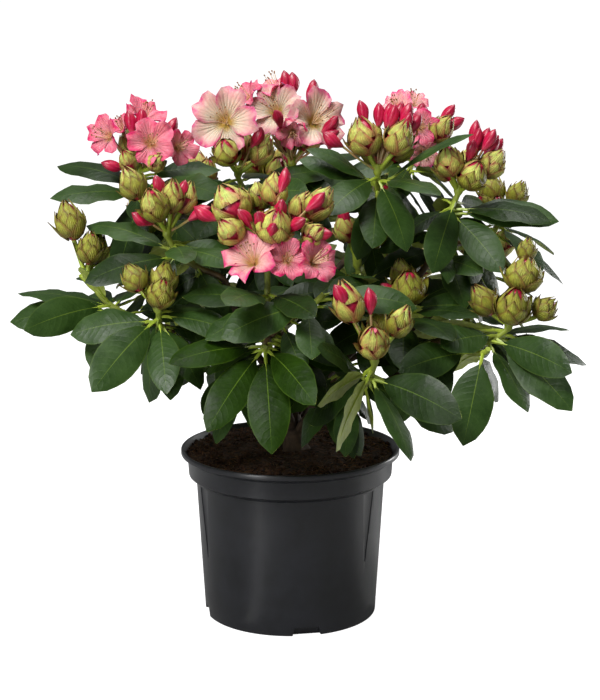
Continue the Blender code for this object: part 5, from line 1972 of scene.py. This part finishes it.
def lobe_points(facing, side, across, rim, radius, k, look):
    """One lobe's points: a sector of the funnel that leaves the neck and opens to a ruffled round end."""
    x, y, face = LOBE.points.T
    end = (1 - 0.44 * np.abs(y) ** 2.2) * (1 - 0.06 * np.exp(-((y / 0.18) ** 2)))
    end = end * (1 + 0.035 * np.sin(9.0 * y + look["phase"] * 2 + k))
    t = (x + 1) / 2 * end
    spread = math.pi / 5 * (1.10 + 0.30 * t**1.5)
    turn = 2 * math.pi * k / 5 + look["turn"] + y * spread
    reach = 0.10 * np.clip(t / 0.06, 0, 1) + 1.02 * t**1.30
    depth = -0.85 * np.clip(1 - t, 0, 1) ** 1.25
    depth -= 0.16 * np.clip((t - 0.72) / 0.28, 0, 1) ** 2 * look["recurve"]
    depth += 0.06 * y * t
    depth += 0.19 * t**3 * np.sin(y * 6.2 + look["phase"] + k * 1.7) - 0.12 * t * np.cos(y * 2.4)
    depth += 0.07 * t**4 * np.sin(y * 13.0 + look["phase"] * 3 + k)
    depth += look["tilts"][k] * t**2
    depth += face * 0.010
    flat = np.outer(np.cos(turn) * reach, side) + np.outer(np.sin(turn) * reach, across)
    return np.array(rim) + (flat + np.outer(depth, facing)) * radius


def open_lobes(bundle, base, sizes, rng):
    """A whole corolla. Returns what its stamens and stalk need."""
    heading, off, reach, width, face_heading, face_off = sizes
    facing = aim(face_heading, face_off)
    rim = base + aim(heading, off) * reach / 1000
    radius = width / 2000 * (1.12 if width < 60 else 1.0)
    side = facing.orthogonal().normalized()
    across = facing.cross(side)
    look = {
        "turn": rng.uniform(0, FULL_TURN),
        "phase": rng.uniform(0, FULL_TURN),
        "recurve": rng.uniform(0.5, 1.3),
        "tilts": [rng.uniform(-0.22, 0.22) for _ in range(5)],
    }
    for k in range(5):
        bundle.add(LOBE, lobe_points(facing, side, across, rim, radius, k, look))
    return facing, side, across, rim, radius


print("a lobe has", len(LOBE.sizes), "faces")

# %% Place the flowers, their stamens and their stalks
# c is cream, b is blush pink and r is rose, in the order in which the shoot's table lists its flowers.
FLOWER_TONES = {"top_left": "rrrrr", "top_centre_left": "c", "top_centre": "ccrbr", "top_back": "bbrb", "centre": "brr"}
# Three flowers hang a little otherwise than their plain solids: heading, degrees off upright,
# reach, width, and the way they face.
TURNED = {
    ("centre", 0): (240, 88, 36, 46, 250, 50),
    ("centre", 2): (330, 94, 60, 38, 306, 66),
    ("top_centre", 1): (318, 38, 65, 54, 292, 70),
}
STAMENS = 9
petals = {"c": Bundle(), "b": Bundle(), "r": Bundle()}
filaments, anthers, flower_stalks = Bundle(), Bundle(), Bundle()
for name, (base, pieces) in trusses.items():
    rng = random.Random(name + " flowers")
    listed = [p for p in SHOOTS[name].truss if p[0] == "F"]
    for number, flower in enumerate(listed):
        if flower not in pieces:
            continue
        tone = FLOWER_TONES[name][number]
        shown = TURNED.get((name, number), flower[1:])
        facing, side, across, rim, radius = open_lobes(petals[tone], base, shown, rng)
        neck = rim - facing * radius * 0.85
        for k in range(STAMENS):
            turn = 2 * math.pi * k / STAMENS + rng.uniform(-0.2, 0.2)
            out = side * math.cos(turn) + across * math.sin(turn)
            tip = neck + facing * radius * rng.uniform(0.95, 1.3) + out * radius * rng.uniform(0.12, 0.34)
            tip += Vector((0, 0, 0.05 * radius))
            add_stalk(filaments, neck, tip, out * radius * 0.05, radius * 0.3, 0.00032, 4)
            ahead = (tip - neck).normalized()
            sack = [tip - ahead * 0.0006, tip, tip + ahead * 0.0011, tip + ahead * 0.0016]
            add_tube(anthers, sack, [0.0003, 0.0008, 0.0008, 0.0002], 5)
        if (neck - base).length > 0.003:
            add_stalk(flower_stalks, base, neck, Vector((0, 0, -0.002)), 0.005, 0.0013, 7, 0.0026)
print("lobes:", {tone: len(bundle.points) for tone, bundle in petals.items()}, "stamens:", len(anthers.points))


# %% Colour the petals
def petal_finish(name, throat, inner, blush, outside, power):
    """Petal skin: a warm throat, a pale middle, and a blush that gathers at the margin."""
    made, tree, shader = new_material(name, 0.5, 0.35)
    across, along_lobe, back = blade_map(tree)
    inside = ramp(tree, along_lobe, (0.12, throat), (0.42, inner), (1.0, inner))
    rim = calc(tree, "POWER", along_lobe, power)
    edge = calc(tree, "MAXIMUM", rim, times(tree, calc(tree, "POWER", across, 3.0), along_lobe))
    flecks = patches(tree, blush, blush, 95)[1]
    edge = times(tree, edge, calc(tree, "ADD", times(tree, flecks, 0.8), 0.5))
    inside = mix(tree, edge, inside, blush)
    colour = mix(tree, back, inside, ramp(tree, along_lobe, (0.0, outside), (0.6, outside), (1.0, blush)))
    colour_with(shader, shade(tree, colour, 0.93, 1.05, 90))
    folds = place_group(tree, VEINS, Pairs=1, Midrib=0.05, Across=along_lobe, Along=times(tree, across, 5.0))
    add_bump(shader, folds["Height"], 0.7, 0.0018)
    add_grain(shader, 320, 0.35, 0.0010)
    feed(tree, 0.25, shader.inputs["Subsurface Weight"])
    feed(tree, (1.0, 0.5, 0.4), shader.inputs["Subsurface Radius"])
    feed(tree, 0.004, shader.inputs["Subsurface Scale"])
    return made


# Each kind's throat, inside, blush and outside, and how closely the blush keeps to the margin.
PETAL_COLOURS = {
    "cream": ((190, 156, 74), (212, 194, 170), (190, 56, 108), (196, 120, 136), 3.4),
    "blush": ((214, 162, 90), (234, 180, 170), (206, 34, 104), (204, 76, 116), 2.8),
    "rose": ((218, 158, 106), (236, 148, 158), (190, 8, 80), (184, 18, 82), 2.0),
}
for tone, (*colours, power) in PETAL_COLOURS.items():
    finish = petal_finish("petal_" + tone, *[srgb(*c) for c in colours], power)
    dress(petals[tone[0]], "petals_" + tone, finish, 85)
dress(filaments, "stamens", patchy_finish("stamen", 0.5, (214, 178, 132), (232, 206, 170), 120)[0])
dress(anthers, "anthers", patchy_finish("anther", 0.6, (110, 70, 34), (150, 104, 58), 300)[0])
dress(flower_stalks, "flower_stalks", blush_stalk)
